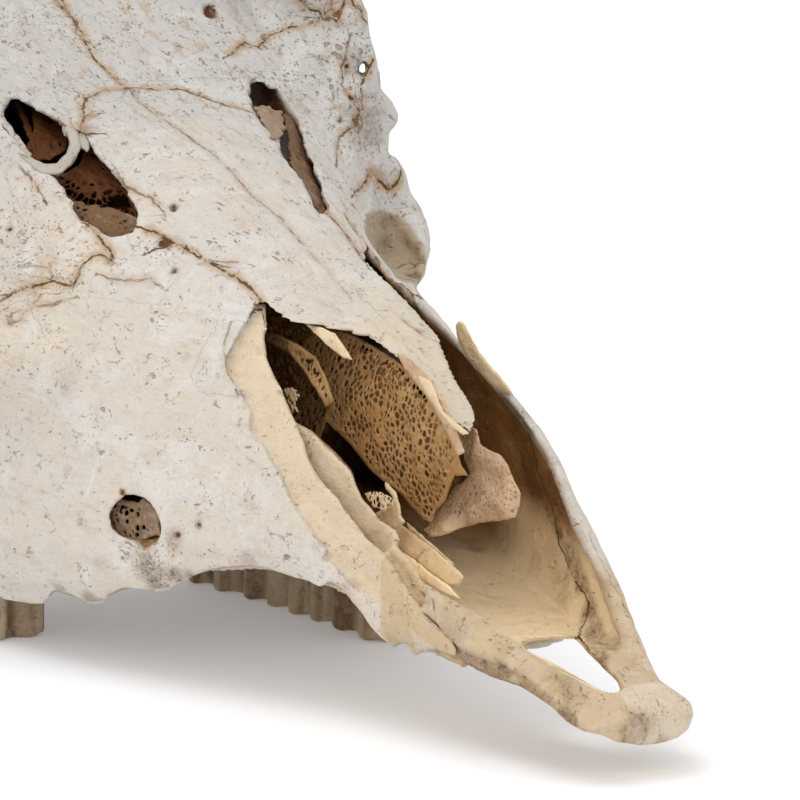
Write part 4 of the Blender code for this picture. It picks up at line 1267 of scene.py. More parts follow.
NOSE_LEAVES: dict[str, tuple[Leaf, ...]] = {
    "turbinate_right": (
        Leaf(
            (
                (300, 345), (318, 328), (345, 331), (370, 343), (400, 362), (430, 393), (448, 425),
                (456, 445), (462, 465), (471, 478), (463, 476), (455, 476), (450, 488), (446, 500),
                (436, 512), (432, 524), (424, 520), (412, 508), (402, 496), (392, 487), (380, 479),
                (368, 468), (352, 447), (336, 431), (322, 419), (331, 402), (322, 380), (308, 360)),
            (-5.0, 0.03, 0.0), (60.0, 38.0), 0.6, 1.6, (1.05, 0.125), 0.7),
        Leaf(
            (
                (306, 352), (322, 336), (345, 338), (368, 350), (396, 369), (424, 398), (441, 428),
                (449, 448), (453, 468), (444, 480), (438, 500), (430, 512), (418, 505), (405, 492),
                (385, 478), (372, 464), (356, 443), (340, 427), (330, 415), (338, 402), (328, 380),
                (314, 362)), (-3.3, 0.03, 0.0), (60.0, 38.0), 0.5, 1.6, (), 0.7),
        Leaf(
            (
                (281, 387), (290, 386), (298, 389), (301, 396), (297, 405), (303, 413), (293, 417),
                (287, 405)), (-11.5, 0.0, 0.1), (80.0, 43.0), 0.5, 0.0, (0.8, 0.10), 0.4, Plate.WHITE),
        Leaf(
            ((362, 492), (378, 489), (392, 496), (396, 506), (386, 513), (372, 509)), (-9.5, 0.0, 0.2),
            (55.0, 31.0), 0.5, 0.0, (0.8, 0.10), 0.4, Plate.WHITE),
        Leaf(
            (
                (396, 352), (410, 359), (428, 376), (445, 402), (457, 430), (465, 452), (458, 456),
                (448, 434), (435, 410), (419, 386), (403, 367)), (-6.8, 0.03, 0.0), (60.0, 38.0), 1.0,
            1.6, (), 0.5, Plate.CRUSTY),
        Leaf(
            (
                (384, 480), (389, 484), (396, 492), (400, 504), (401, 516), (406, 522), (396, 530),
                (380, 522), (372, 515), (390, 505), (393, 498), (386, 489)), (-8.5, 0.1, 0.15),
            (54.0, 29.0), 0.8, 0.0, (), 0.5, Plate.WHITE),
        Leaf(
            (
                (395, 519), (402, 524), (411, 532), (425, 542), (440, 554), (455, 567), (464, 577),
                (458, 586), (448, 585), (432, 575), (415, 561), (400, 549), (392, 540), (391, 530)),
            (-6.5, 0.0, 0.35), (50.0, 23.0), 1.1, 0.0, (), 0.35, Plate.WHITE),
        Leaf(
            (
                (405, 519), (415, 529), (428, 540), (444, 554), (456, 566), (451, 567), (438, 557),
                (422, 543), (409, 532)), (-4.5, 0.0, 0.0), (48.0, 24.0), 0.8, 0.0, (), 0.2, Plate.WHITE),
        Leaf(
            (
                (382, 553), (393, 546), (415, 560), (432, 574), (450, 586), (462, 600), (446, 596),
                (424, 582), (402, 568)), (-9.0, 0.0, 0.3), (48.0, 20.0), 1.0, 0.0, (), 0.3)),
    "turbinate_left": (
        Leaf(
            (
                (262, 312), (300, 322), (350, 328), (362, 345), (345, 372), (332, 402), (326, 425),
                (320, 440), (298, 432), (286, 418), (270, 385), (262, 350)), (3.0, 0.0, 0.1),
            (80.0, 45.0), 0.7, -1.2, (1.3, 0.16), 0.9),
        Leaf(
            (
                (264, 330), (280, 335), (300, 345), (316, 356), (327, 378), (334, 402), (326, 408),
                (316, 390), (304, 372), (288, 352), (266, 342)), (-9.0, 0.05, 0.1), (86.0, 46.0), 0.7,
            0.0, (1.0, 0.12), 0.9)),
    "vomer": (
        Leaf(
            (
                (470, 424), (477, 430), (481, 445), (490, 450), (501, 455), (508, 465), (514, 480),
                (521, 493), (519, 508), (516, 518), (500, 521), (480, 523), (462, 528), (445, 535),
                (430, 537), (424, 530), (432, 521), (438, 510), (447, 499), (453, 489), (462, 482),
                (470, 474), (462, 452), (455, 436)), (-0.5, 0.0, 0.08), (45.0, 32.0), 1.3, 0.0,
            (0.62, 0.13), 1.3, Plate.CRUSTY),),
    "nasal_right": (
        Leaf(
            (
                (303, 322), (322, 327), (335, 333), (344, 346), (355, 362), (344, 358), (330, 348),
                (317, 336)), (-10.5, 0.05, 0.3), (76.0, 52.0), 0.7, 0.0, (), 0.3, Plate.WHITE),
        Leaf(
            (
                (416, 374), (431, 381), (437, 395), (444, 412), (458, 424), (471, 434), (463, 435),
                (452, 427), (443, 417), (434, 405), (426, 393)), (-6.5, 0.1, 0.2), (50.0, 46.0), 0.8, 0.0,
            (), 0.3, Plate.WHITE)),
    "premaxilla_left": (
        Leaf(
            (
                (455, 326), (459, 320), (464, 324), (471, 336), (478, 350), (488, 363), (501, 377),
                (512, 392), (505, 396), (490, 384), (474, 366), (464, 352), (458, 340)),
            (12.6, 0.05, -0.1), (62.0, 48.0), 1.4, 0.0, (), 0.2, Plate.WHITE),),
}


@dataclass(frozen=True)
class ToothPlan:
    """One cheek tooth: first and last distance from the muzzle tip and width across."""

    name: str
    first: float
    last: float
    width: float
    sides: tuple[Side, ...] = (Side.LEFT,)


TEETH = (
    ToothPlan("third_premolar", 103.0, 110.8, 9.5), ToothPlan("fourth_premolar", 111.2, 119.8, 11.5),
    ToothPlan("first_molar", 120.2, 133.2, 12.5),
    ToothPlan("second_molar", 133.6, 148.0, 13.0, (Side.LEFT, Side.RIGHT)),
    ToothPlan("third_molar", 148.4, 164.5, 12.5, (Side.LEFT, Side.RIGHT)))
TOOTH_ROW_Y: Row = (100.0, 118.0, 145.0, 165.0)
TOOTH_ROW_X: Row = (24.0, 27.5, 29.0, 27.0)


@dataclass(frozen=True)
class BoneFinish:
    """Colours and roughness of dry bone, as linear values."""

    name: str
    outer: Row = (0.632, 0.586, 0.532)
    flaky: Row = (0.715, 0.695, 0.665)
    cream: Row = (0.70, 0.565, 0.395)
    tan: Row = (0.47, 0.31, 0.17)
    grey: Row = (0.40, 0.37, 0.33)
    inner: Row = (0.40, 0.20, 0.065)
    # Painted shade: colour of places far below the skin, at the back of the nose and in the pits inside; it
    # also tints random patches inside.
    deep: Row = (0.095, 0.036, 0.010)
    crust: Row = (0.62, 0.50, 0.36)
    # Painted light: the bright cream of the nose's floor, in place of light that the cavity keeps out.
    floor: Row = (1.0, 0.80, 0.51)
    shade: Row = (0.56, 0.40, 0.22)
    dirt: Row = (0.25, 0.138, 0.058)
    soil: Row = (0.145, 0.066, 0.021)
    line: Row = (0.16, 0.078, 0.027)
    bleached: Row = (0.545, 0.53, 0.51)
    cup: Row = (0.42, 0.33, 0.23)
    roughness: float = 0.62
    specular: float = 0.25
    relief: float = 0.95
    pits: float = 0.75


class Nodes:
    """Small helper that adds and wires shader nodes.

    Args:
        tree: The tree that it works on.
    """

    BUMP_DISTANCE = 0.0006

    def __init__(self, tree: bpy.types.NodeTree) -> None:
        """Take the tree."""
        self.tree = tree

    def add(self, kind: str, inputs: dict[str | int, object] | None = None,
            **settings: object) -> bpy.types.Node:
        """Add a node, set it and fill its inputs.

        Args:
            kind: Type of the node.
            inputs: Values or sockets by the input's name or number.
            settings: The node's own settings.

        Returns:
            The node.
        """
        node = self.tree.nodes.new(kind)
        for name, value in settings.items():
            setattr(node, name, value)
        for name, value in (inputs or {}).items():
            if isinstance(value, bpy.types.NodeSocket):
                self.tree.links.new(value, node.inputs[name])
            else:
                node.inputs[name].default_value = value
        return node

    def math(self, operation: str, first: object, second: object = 0.0,
             clamp: bool = False) -> bpy.types.NodeSocket:
        """Add a maths node and give its result."""
        node = self.add("ShaderNodeMath", {0: first, 1: second}, operation=operation, use_clamp=clamp)
        return node.outputs[0]

    def times(self, first: object, second: object, clamp: bool = False) -> bpy.types.NodeSocket:
        """Multiply two values."""
        return self.math("MULTIPLY", first, second, clamp)

    def plus(self, first: object, second: object, clamp: bool = False) -> bpy.types.NodeSocket:
        """Add two values."""
        return self.math("ADD", first, second, clamp)

    def minus(self, first: object, second: object, clamp: bool = False) -> bpy.types.NodeSocket:
        """Take the second value from the first."""
        return self.math("SUBTRACT", first, second, clamp)

    def mix(self, share: object, first: object, second: object) -> bpy.types.NodeSocket:
        """Mix two colours.

        Args:
            share: Weight of the second colour.
            first: First colour.
            second: Second colour.

        Returns:
            The mixed colour.
        """
        node = self.tree.nodes.new("ShaderNodeMix")
        node.data_type = "RGBA"
        for socket, value in ((node.inputs[0], share), (node.inputs[6], first), (node.inputs[7], second)):
            if isinstance(value, bpy.types.NodeSocket):
                self.tree.links.new(value, socket)
            elif isinstance(value, tuple):
                socket.default_value = (*value[:3], 1.0)
            else:
                socket.default_value = value
        return node.outputs[2]

    def coat(self, colour: object, coats: Coats) -> bpy.types.NodeSocket:
        """Lay coats over a colour, each with its share."""
        return reduce(lambda under, coat: self.mix(coat[0], under, coat[1]), coats, colour)

    def wire(self, value: bpy.types.NodeSocket, node: bpy.types.Node, name: str) -> None:
        """Lead a value to a node's input."""
        self.tree.links.new(value, node.inputs[name])

    def mark(self, name: str) -> bpy.types.NodeSocket:
        """Read one of the mesh's marks."""
        return self.add("ShaderNodeAttribute", attribute_name=name).outputs["Fac"]

    def stretch(self, place: bpy.types.NodeSocket, scale: Row,
                turn: Row = (0.0, 0.0, 0.0)) -> bpy.types.NodeSocket:
        """Scale and turn places, so that a pattern is drawn out along one way."""
        return self.add("ShaderNodeMapping", {"Vector": place, "Scale": scale, "Rotation": turn}).outputs[0]

    def bump(self, height: bpy.types.NodeSocket, strength: float, shader: bpy.types.Node) -> None:
        """Raise the surface by a height."""
        node = self.add("ShaderNodeBump", {"Height": height, "Strength": strength,
                                           "Distance": self.BUMP_DISTANCE})
        self.wire(node.outputs[0], shader, "Normal")

    def ramp(self, value: bpy.types.NodeSocket, low: float, high: float) -> bpy.types.NodeSocket:
        """Stretch a value so that low becomes 0 and high becomes 1."""
        node = self.add("ShaderNodeMapRange", {0: value, 1: low, 2: high, 3: 0.0, 4: 1.0})
        return node.outputs[0]

    def noise(self, place: bpy.types.NodeSocket, scale: float | bpy.types.NodeSocket,
              detail: float = 4.0, rough: float = 0.55) -> bpy.types.NodeSocket:
        """Add a noise texture and give its value."""
        return self.add("ShaderNodeTexNoise", {"Vector": place, "Scale": scale, "Detail": detail,
                                               "Roughness": rough}).outputs[0]


class Effects:
    """Node groups that the finishes share."""

    GROWTH: Row = (-0.42, 0.0, 0.0)

    def __init__(self) -> None:
        """Make both node groups."""
        self.weather = self._weather()
        self.pitting = self._pitting()

    @staticmethod
    def _group(name: str, inputs: dict[str, float],
               outputs: tuple[str, ...]) -> tuple[Nodes, bpy.types.Node, bpy.types.Node]:
        """Start a node group.

        Args:
            name: Name of the group.
            inputs: Its numbers besides the place, with their usual values.
            outputs: Names of its results.

        Returns:
            Helper, input node and output node.
        """
        tree = bpy.data.node_groups.new(name, "ShaderNodeTree")
        tree.interface.new_socket("Place", in_out="INPUT", socket_type="NodeSocketVector")
        for word, value in inputs.items():
            socket = tree.interface.new_socket(word, in_out="INPUT", socket_type="NodeSocketFloat")
            socket.default_value = value
        for word in outputs:
            tree.interface.new_socket(word, in_out="OUTPUT", socket_type="NodeSocketFloat")
        return Nodes(tree), tree.nodes.new("NodeGroupInput"), tree.nodes.new("NodeGroupOutput")

    def _weather(self) -> bpy.types.NodeTree:
        """Make broad patches, hard-edged flakes, fine flecks and long streaks.

        Returns:
            The node group.
        """
        nodes, source, sink = self._group("weathering", {"Patch Size": 60.0, "Fleck Size": 900.0},
                                          ("Patches", "Flakes", "Flecks", "Streaks"))
        place = source.outputs["Place"]
        patches = nodes.noise(place, source.outputs["Patch Size"], 5.0, 0.62)
        flakes = nodes.add("ShaderNodeTexNoise", {"Vector": place, "Scale": 85.0, "Detail": 6.0,
                                                  "Roughness": 0.6, "Distortion": 0.8}).outputs[0]
        flecks = nodes.noise(place, source.outputs["Fleck Size"], 4.0, 0.7)
        long = nodes.stretch(place, (1.0, 0.16, 1.0), self.GROWTH)
        streaks = nodes.noise(long, 520.0, 5.0, 0.65)
        for word, value, low, high in (("Patches", patches, 0.42, 0.64), ("Flakes", flakes, 0.51, 0.57),
                                       ("Flecks", flecks, 0.54, 0.70), ("Streaks", streaks, 0.54, 0.72)):
            nodes.wire(nodes.ramp(value, low, high), sink, word)
        return nodes.tree

    def _pitting(self) -> bpy.types.NodeTree:
        """Make the relief of dry bone: drawn-out pits along its growth, fine round pits and a grain.

        Returns:
            The node group.
        """
        sizes = {"Long Size": 1000.0, "Round Size": 2100.0, "Rough": 0.0}
        nodes, source, sink = self._group("pitting", sizes, ("Height", "Pits", "Strokes"))
        place = source.outputs["Place"]
        warp = nodes.add("ShaderNodeTexNoise", {"Vector": place, "Scale": 130.0, "Detail": 3.0}).outputs[1]
        bent = nodes.add("ShaderNodeVectorMath", {0: warp, 1: (0.006, 0.006, 0.006)},
                         operation="MULTIPLY").outputs[0]
        moved = nodes.add("ShaderNodeVectorMath", {0: place, 1: bent}, operation="ADD").outputs[0]
        long = nodes.stretch(moved, (1.0, 0.30, 1.0), self.GROWTH)
        zone = nodes.plus(nodes.noise(place, 170.0, 4.0, 0.6), nodes.times(source.outputs["Rough"], 0.6))
        zone = nodes.ramp(zone, 0.40, 0.66)
        layers = []
        for lattice, size, low, high in ((long, source.outputs["Long Size"], 0.10, 0.36),
                                         (moved, source.outputs["Round Size"], 0.10, 0.40)):
            cells = nodes.add("ShaderNodeTexVoronoi", {"Vector": lattice, "Scale": size})
            chance = nodes.add("ShaderNodeSeparateColor", {0: cells.outputs[1]}).outputs[0]
            reach = nodes.times(nodes.ramp(chance, 0.12, 1.0), zone)
            hole = nodes.minus(nodes.times(reach, high), cells.outputs[0])
            layers.append(nodes.ramp(hole, 0.0, low))
        pits = nodes.math("MAXIMUM", layers[0], nodes.times(layers[1], 0.8))
        grain = nodes.noise(moved, 1900.0, 4.0, 0.7)
        contour = nodes.math("ABSOLUTE", nodes.minus(nodes.noise(long, 300.0, 5.0, 0.6), 0.5))
        strokes = nodes.times(nodes.minus(1.0, nodes.ramp(contour, 0.0, 0.017)),
                             nodes.ramp(nodes.noise(place, 520.0, 2.0, 0.6), 0.56, 0.66))
        fibres = nodes.noise(long, 1300.0, 4.0, 0.7)
        grain = nodes.plus(nodes.times(grain, 0.35), nodes.times(fibres, 0.45))
        height = nodes.minus(grain, nodes.times(pits, 0.6))
        height = nodes.minus(height, nodes.times(strokes, 0.35))
        strokes = nodes.times(strokes, nodes.ramp(nodes.noise(place, 75.0, 2.0), 0.38, 0.58))
        for word, value in (("Strokes", strokes), ("Height", height), ("Pits", pits)):
            nodes.wire(value, sink, word)
        return nodes.tree


class Palette:
    """Makes the materials."""

    MARKS = ("inside", "deep", "seam_away", "seam_side", "seam_weight", "cream", "palate", "stain",
             "rough", "upper", "cup")

    def __init__(self) -> None:
        """Make the shared effects."""
        self.effects = Effects()

    @staticmethod
    def start(name: str) -> tuple[bpy.types.Material, Nodes, bpy.types.Node, bpy.types.NodeSocket]:
        """Start a material and give its helper, shader and places.

        Args:
            name: Name of the material.

        Returns:
            The material, its helper, the shader and the places.
        """
        made = bpy.data.materials.new(name)
        made.use_nodes = True
        nodes = Nodes(made.node_tree)
        shader = made.node_tree.nodes["Principled BSDF"]
        place = nodes.add("ShaderNodeTexCoord").outputs["Object"]
        return made, nodes, shader, place

    def bone(self, finish: BoneFinish) -> bpy.types.Material:
        """Make dry bone: pale and pitted outside, streaked brown inside with painted shade deep down and
        painted light on the nose's floor, with dirt in its seams.

        Args:
            finish: Its colours and relief.

        Returns:
            The material.
        """
        made, nodes, shader, place = self.start(finish.name)
        mark = {name: nodes.mark(name) for name in self.MARKS}
        unrest = nodes.plus(mark["rough"], nodes.times(mark["upper"], 0.22))
        weather = nodes.add("ShaderNodeGroup", {"Place": place, "Patch Size": 52.0, "Fleck Size": 1500.0},
                            node_tree=self.effects.weather)
        pitting = nodes.add("ShaderNodeGroup", {"Place": place, "Long Size": 900.0, "Round Size": 1900.0,
                                                "Rough": unrest}, node_tree=self.effects.pitting)
        wear = {word: weather.outputs[word] for word in ("Patches", "Flakes", "Flecks", "Streaks")}
        wear["Pits"] = nodes.times(pitting.outputs["Pits"], finish.pits, True)
        wear["Strokes"] = pitting.outputs["Strokes"]
        seam, halo = self._seam(nodes, mark, place)
        # The stain mark darkens with soil, and also paints shade at the holes, in the teeth's grooves and
        # in the near bar's step.
        stained = nodes.times(mark["stain"], nodes.plus(wear["Flecks"], 0.9), True)
        stained = nodes.times(stained, nodes.ramp(nodes.noise(place, 260.0, 5.0, 0.7), 0.28, 0.52))
        colour = nodes.mix(mark["inside"], self._outer(nodes, finish, mark, wear, halo),
                           self._inner(nodes, finish, mark, wear))
        colour = nodes.coat(colour, ((seam, finish.line), (nodes.times(stained, 0.92), finish.soil)))
        nodes.wire(colour, shader, "Base Color")
        rough = nodes.plus(nodes.times(wear["Patches"], 0.12), finish.roughness)
        nodes.wire(rough, shader, "Roughness")
        shader.inputs["Specular IOR Level"].default_value = finish.specular
        height = nodes.plus(pitting.outputs["Height"], nodes.times(wear["Flakes"], 0.12))
        height = nodes.minus(height, nodes.times(seam, 0.8))
        nodes.bump(height, finish.relief, shader)
        return made

    @staticmethod
    def _outer(nodes: Nodes, finish: BoneFinish, mark: Sockets, wear: Sockets,
               halo: bpy.types.NodeSocket) -> bpy.types.NodeSocket:
        """Colour the outside of the bone.

        Args:
            nodes: Helper.
            finish: The bone's colours.
            mark: The mesh marks.
            wear: Results of the shared effects.
            halo: Strength of the stain beside the seams.

        Returns:
            The colour.
        """
        flaked = nodes.minus(wear["Flakes"], mark["cream"], True)
        worn = nodes.times(nodes.plus(0.8, mark["upper"]), 0.44)
        specked = nodes.times(nodes.times(mark["rough"], 1.6, True), wear["Flecks"])
        open_bone = nodes.minus(1.0, nodes.times(mark["cream"], 0.75), True)
        # The palate mark lays the shade colour on the near bar.
        return nodes.coat(finish.outer, (
            (mark["cream"], finish.cream),
            (nodes.times(mark["palate"], 0.8), finish.shade),
            (nodes.times(wear["Patches"], 0.36), finish.cream),
            (nodes.times(mark["upper"], 0.75), finish.bleached),
            (nodes.times(flaked, 0.42), finish.flaky),
            (nodes.times(wear["Flecks"], 0.30), finish.grey),
            (nodes.times(wear["Streaks"], worn), finish.tan),
            (mark["cup"], finish.cup),
            (nodes.times(halo, 0.9, True), finish.tan),
            (specked, finish.tan),
            (nodes.times(nodes.times(wear["Pits"], open_bone), 0.75), finish.dirt),
            (nodes.times(nodes.times(wear["Strokes"], open_bone), finish.pits * 0.95), finish.dirt)))

    @staticmethod
    def _inner(nodes: Nodes, finish: BoneFinish, mark: Sockets, wear: Sockets) -> bpy.types.NodeSocket:
        """Colour the inside of the nose, with painted shade where it lies deep and in its pits, and painted
        light on its floor.

        Args:
            nodes: Helper.
            finish: The bone's colours.
            mark: The mesh marks.
            wear: Results of the shared effects.

        Returns:
            The colour.
        """
        grains = nodes.times(nodes.times(wear["Flecks"], wear["Flakes"]), nodes.minus(1.0, mark["deep"]))
        # Painted shade: the deep mark and the pits darken the inside; painted light: the palate mark
        # brightens its floor.
        return nodes.coat(finish.inner, (
            (mark["deep"], finish.deep),
            (nodes.times(wear["Patches"], 0.55), finish.deep),
            (nodes.times(wear["Streaks"], 0.35), finish.crust),
            (nodes.times(grains, 0.8), finish.crust),
            (nodes.times(mark["palate"], 0.92), finish.floor),
            (nodes.times(wear["Pits"], 0.3), finish.deep)))

    @staticmethod
    def _seam(nodes: Nodes, mark: Sockets,
              place: bpy.types.NodeSocket) -> tuple[bpy.types.NodeSocket, bpy.types.NodeSocket]:
        """Draw a fine ragged line along the seams and a stain beside them.

        Args:
            nodes: Helper.
            mark: The mesh marks.
            place: Places on the model.

        Returns:
            Strength of the line and of the stain.
        """
        ragged = nodes.minus(nodes.noise(place, 900.0, 3.0, 0.6), 0.5)
        away = nodes.math("ABSOLUTE", nodes.plus(mark["seam_side"], nodes.times(ragged, 0.9)))
        wide = nodes.times(nodes.noise(place, 330.0, 2.0), 0.46)
        line = nodes.minus(1.0, nodes.math("DIVIDE", away, wide))
        line = nodes.times(nodes.ramp(line, 0.0, 0.5), nodes.ramp(mark["seam_weight"], 0.0, 0.8))
        broken = nodes.plus(nodes.times(nodes.ramp(nodes.noise(place, 460.0, 3.0, 0.6), 0.42, 0.54), 0.8),
                            0.2)
        line = nodes.times(line, broken)
        spread = nodes.plus(nodes.times(nodes.noise(place, 380.0, 4.0, 0.7), 2.4), 0.2)
        blot = nodes.ramp(nodes.minus(1.0, nodes.math("DIVIDE", mark["seam_away"], spread)), 0.0, 0.6)
        blot = nodes.times(blot, nodes.ramp(nodes.noise(place, 260.0, 4.0, 0.6), 0.26, 0.52))
        return line, nodes.times(blot, mark["seam_weight"])


@dataclass
class Workshop:
    """What every sub-assembly shares."""

    form: SkullForm
    sutures: Sutures
    inside: Inside
    palette: Palette
    broad: Noise = field(default_factory=lambda: Noise(9.0, 41))
    medium: Noise = field(default_factory=lambda: Noise(3.0, 42))
    fine: Noise = field(default_factory=lambda: Noise(1.1, 43))
    channel: PixelShape = field(default_factory=lambda: PixelShape(NEAR_CHANNEL))
    bar: PixelShape = field(default_factory=lambda: PixelShape(NEAR_BAR))
    cells: dict[float, Cells] = field(default_factory=dict)
    lines: list[tuple[np.ndarray, float]] = field(default_factory=list)
    spots: list[tuple[np.ndarray, float, float]] = field(default_factory=list)
    rough: list[tuple[np.ndarray, float, float]] = field(default_factory=list)
    holes: list[tuple[np.ndarray, float]] = field(default_factory=list)
    seam_reach: float = 4.0
    groove_depth: float = 0.35
    groove_width: float = 0.5
    batch: int = 40000

    def marks(self, shell: Shell, share: np.ndarray | None, always_inside: bool = False) -> Marks:
        """Work out the marks that the finishes read.

        Args:
            shell: A mesh.
            share: The bone's share over the shell's block, for its seams.
            always_inside: Whether the whole mesh lies inside the nose.

        Returns:
            One array of values for each mark.
        """
        x, y, z = shell.points.T
        skin = self.form.block.read(self.form.skin, shell.points)
        wander = 0.25 * self.medium.at(x, y, z)
        pressed = self.pressed(shell)
        inside = step_up(-0.5, -1.3, skin - self.plump(y) + wander + pressed)
        middle = step_up(31.0, 28.0, np.abs(x)) * step_up(180.0, 172.0, y)
        inside = inside * np.maximum(step_up(160.0, 152.0, y), middle)
        inside = inside * (1.0 - step_up(29.5, 32.5, x) * step_up(106.0, 112.0, y))
        for centre, radius in self.holes:
            near = distance_from(shell.points, centre) < radius
            inside = np.maximum(inside, near * step_up(-0.2, -0.5, skin))
        # Painted shade: the deep mark darkens the colour the farther a point lies below the skin, and
        # towards the back of the nose.
        deep = step_up(-4.0, -16.0, skin)
        deep = np.maximum(deep, step_up(92.0, 112.0, y) * inside)
        if always_inside:
            inside = np.ones_like(inside)
        seam, sided, weight = self.seams(shell, share, inside)
        cream = step_up(98.0, 55.0, y) * (0.6 + 0.25 * self.broad.at(x, y, z))
        cream = cream * (1.0 - 0.85 * step_up(2.0, 8.0, x) * step_up(8.0, 20.0, y))
        upper = step_up(118.0, 150.0, y) * (1.0 - inside)
        near_cup = np.abs(shell.points - self.form.cup).max(axis=1) < self.form.CUP_REACH
        cup = step_up(0.25, -0.35, self.form.cup_shape.at(*shell.pixels())) * near_cup
        # Painted light: inside the nose the palate mark lays a bright cream on the floor, reaching back to
        # 86 mm, in place of light that the cavity keeps out; outside, it lays the shade colour on the
        # pressed-in near bar.
        floor = np.interp(y, FLOOR_Y, FLOOR_Z)
        palate = step_up(86.0, 60.0, y) * step_up(15.0, 8.0, z - floor + self.medium.at(x, y, z))
        palate = np.where(inside > 0.5, palate, step_up(2.2, 3.4, pressed))
        values = (inside, deep, seam, sided, weight, np.clip(cream, 0.0, 1.0), palate, self.stains(shell),
                  self.roughness(shell.points), upper, cup)
        return dict(zip(Palette.MARKS, values, strict=True))

    @staticmethod
    def plump(y: np.ndarray) -> np.ndarray:
        """Tell how much fuller the nose is than the form, at distances from the muzzle tip."""
        return 0.6 * step_up(95.0, 60.0, y)

    def pressed(self, shell: Shell) -> np.ndarray:
        """Tell how far the skin itself is pressed in on the right side of the nose.

        Args:
            shell: The mesh.

        Returns:
            Depths in millimetres.
        """
        x, y, _ = shell.points.T
        px, py = shell.pixels()
        channel = step_up(0.3, -0.3, self.channel.at(px, py)) * 2.0
        bar = step_up(0.3, -0.3, self.bar.at(px, py)) * step_up(62.0, 58.0, y) * 3.6
        return np.maximum(channel, bar) * ((x < -3.0) & (y < 100.0))

    def roughness(self, points: np.ndarray) -> np.ndarray:
        """Tell how rough the bone is at each point, in millimetres.

        Args:
            points: Places, one a row.

        Returns:
            Depths in millimetres.
        """
        total = np.zeros(len(points))
        for centre, radius, height in self.rough:
            for side in (1.0, -1.0):
                away = distance_from(points, centre * (side, 1.0, 1.0)) / radius
                total = np.maximum(total, height * step_up(1.2, 0.4, away))
        return total

    def seams(self, shell: Shell, share: np.ndarray | None,
              inside: np.ndarray) -> tuple[np.ndarray, np.ndarray, np.ndarray]:
        """Find the nearest seam of every point.

        Args:
            shell: A mesh.
            share: The bone's share over the shell's block.
            inside: How far each point lies inside the head.

        Returns:
            Plain distance, distance with a sign for its side, and the seam's weight.
        """
        far = self.seam_reach
        away = np.full(len(shell.points), far)
        sided, weight = away.copy(), np.zeros(len(shell.points))
        if share is None:
            return away, sided, weight
        own = shell.block.read(share, shell.points)
        hidden = 1.0 - step_up(152.0, 162.0, shell.points[:, 1]) * step_up(0.9, 0.1, inside)
        own = own + far * np.sign(own + 1e-6) * hidden
        away, sided = np.abs(own), own
        weight = np.full(len(own), 0.7)
        low, high = shell.points.min(axis=0) - 1.0, shell.points.max(axis=0) + 1.0
        for course, dark in self.lines:
            if np.any(course.max(axis=0) < low) or np.any(course.min(axis=0) > high):
                continue
            near = np.flatnonzero(np.all((shell.points > course.min(axis=0) - 3.0)
                                         & (shell.points < course.max(axis=0) + 3.0), axis=1))
            for first in range(0, len(near), self.batch):
                batch = near[first:first + self.batch]
                gap, side = self._beside(shell, course, batch)
                closer = gap < away[batch]
                chosen = batch[closer]
                away[chosen], sided[chosen], weight[chosen] = gap[closer], side[closer], dark
        return np.minimum(away, far), np.clip(sided, -far, far), weight

    @staticmethod
    def _beside(shell: Shell, course: np.ndarray, batch: np.ndarray) -> tuple[np.ndarray, np.ndarray]:
        """Measure some points' distance to a drawn seam.

        Args:
            shell: A mesh.
            course: Points along the seam.
            batch: Numbers of the mesh's points.

        Returns:
            Plain distance, and distance with a sign for its side.
        """
        gap = shell.points[batch][:, None, :] - course[None, :, :]
        length = np.sqrt((gap ** 2).sum(axis=2))
        index, row = length.argmin(axis=1), np.arange(len(batch))
        along = course[np.minimum(index + 1, len(course) - 1)] - course[np.maximum(index - 1, 0)]
        along /= np.maximum(np.linalg.norm(along, axis=1, keepdims=True), 1e-6)
        across = np.cross(along, shell.normals[batch])
        return length[row, index], (gap[row, index] * across).sum(axis=1)

    def trace(self) -> None:
        """Lay the drawn seams on the skin, on both sides where they are paired."""
        for line in SUTURE_LINES:
            course = []
            for (u0, v0), (u1, v1) in zip(line.pixels, line.pixels[1:]):
                count = max(int(math.hypot(u1 - u0, v1 - v0) / 2.0), 1)
                for step in range(count):
                    share = step / count
                    course.append(self.form.surface_point(u0 + (u1 - u0) * share, v0 + (v1 - v0) * share))
            points = np.array(course)
            sway = np.stack([self.medium.at(*(points * scale).T) for scale in (1.0, 1.3, 1.7)], axis=1)
            points = points + 0.45 * sway * min(line.weight, 0.6)
            self.lines.append((points, line.weight))
            if line.both:
                self.lines.append((points * (-1.0, 1.0, 1.0), line.weight))
        for px, py, radius, dark in STAINS:
            self.spots.append((self.form.surface_point(px, py), radius / PIXELS_PER_MM, dark))
        for px, py, radius, dark in INNER_STAINS:
            self.spots.append((self.inner_point(px, py), radius / PIXELS_PER_MM, dark))
        for px, py, radius in SMALL_HOLES + ROUND_HOLES:
            centre = self.form.surface_point(px, py)
            self.holes.append((centre, (2.0 * radius + 4.0) / PIXELS_PER_MM))
            # Painted shade: every hole gets a dark spot a little wider than itself.
            self.spots.append((centre, (radius + 2.0) / PIXELS_PER_MM, 0.8))
        for px, py, radius, height in ROUGH:
            self.rough.append((self.form.surface_point(px, py), radius / PIXELS_PER_MM, height))
        ridge = [self.inner_point(px, py) for (u0, v0), (u1, v1) in zip(INNER_RIDGE, INNER_RIDGE[1:])
                 for px, py in ((u0 + (u1 - u0) * k / 8.0, v0 + (v1 - v0) * k / 8.0) for k in range(8))]
        self.lines.append((np.array(ridge), 0.9))

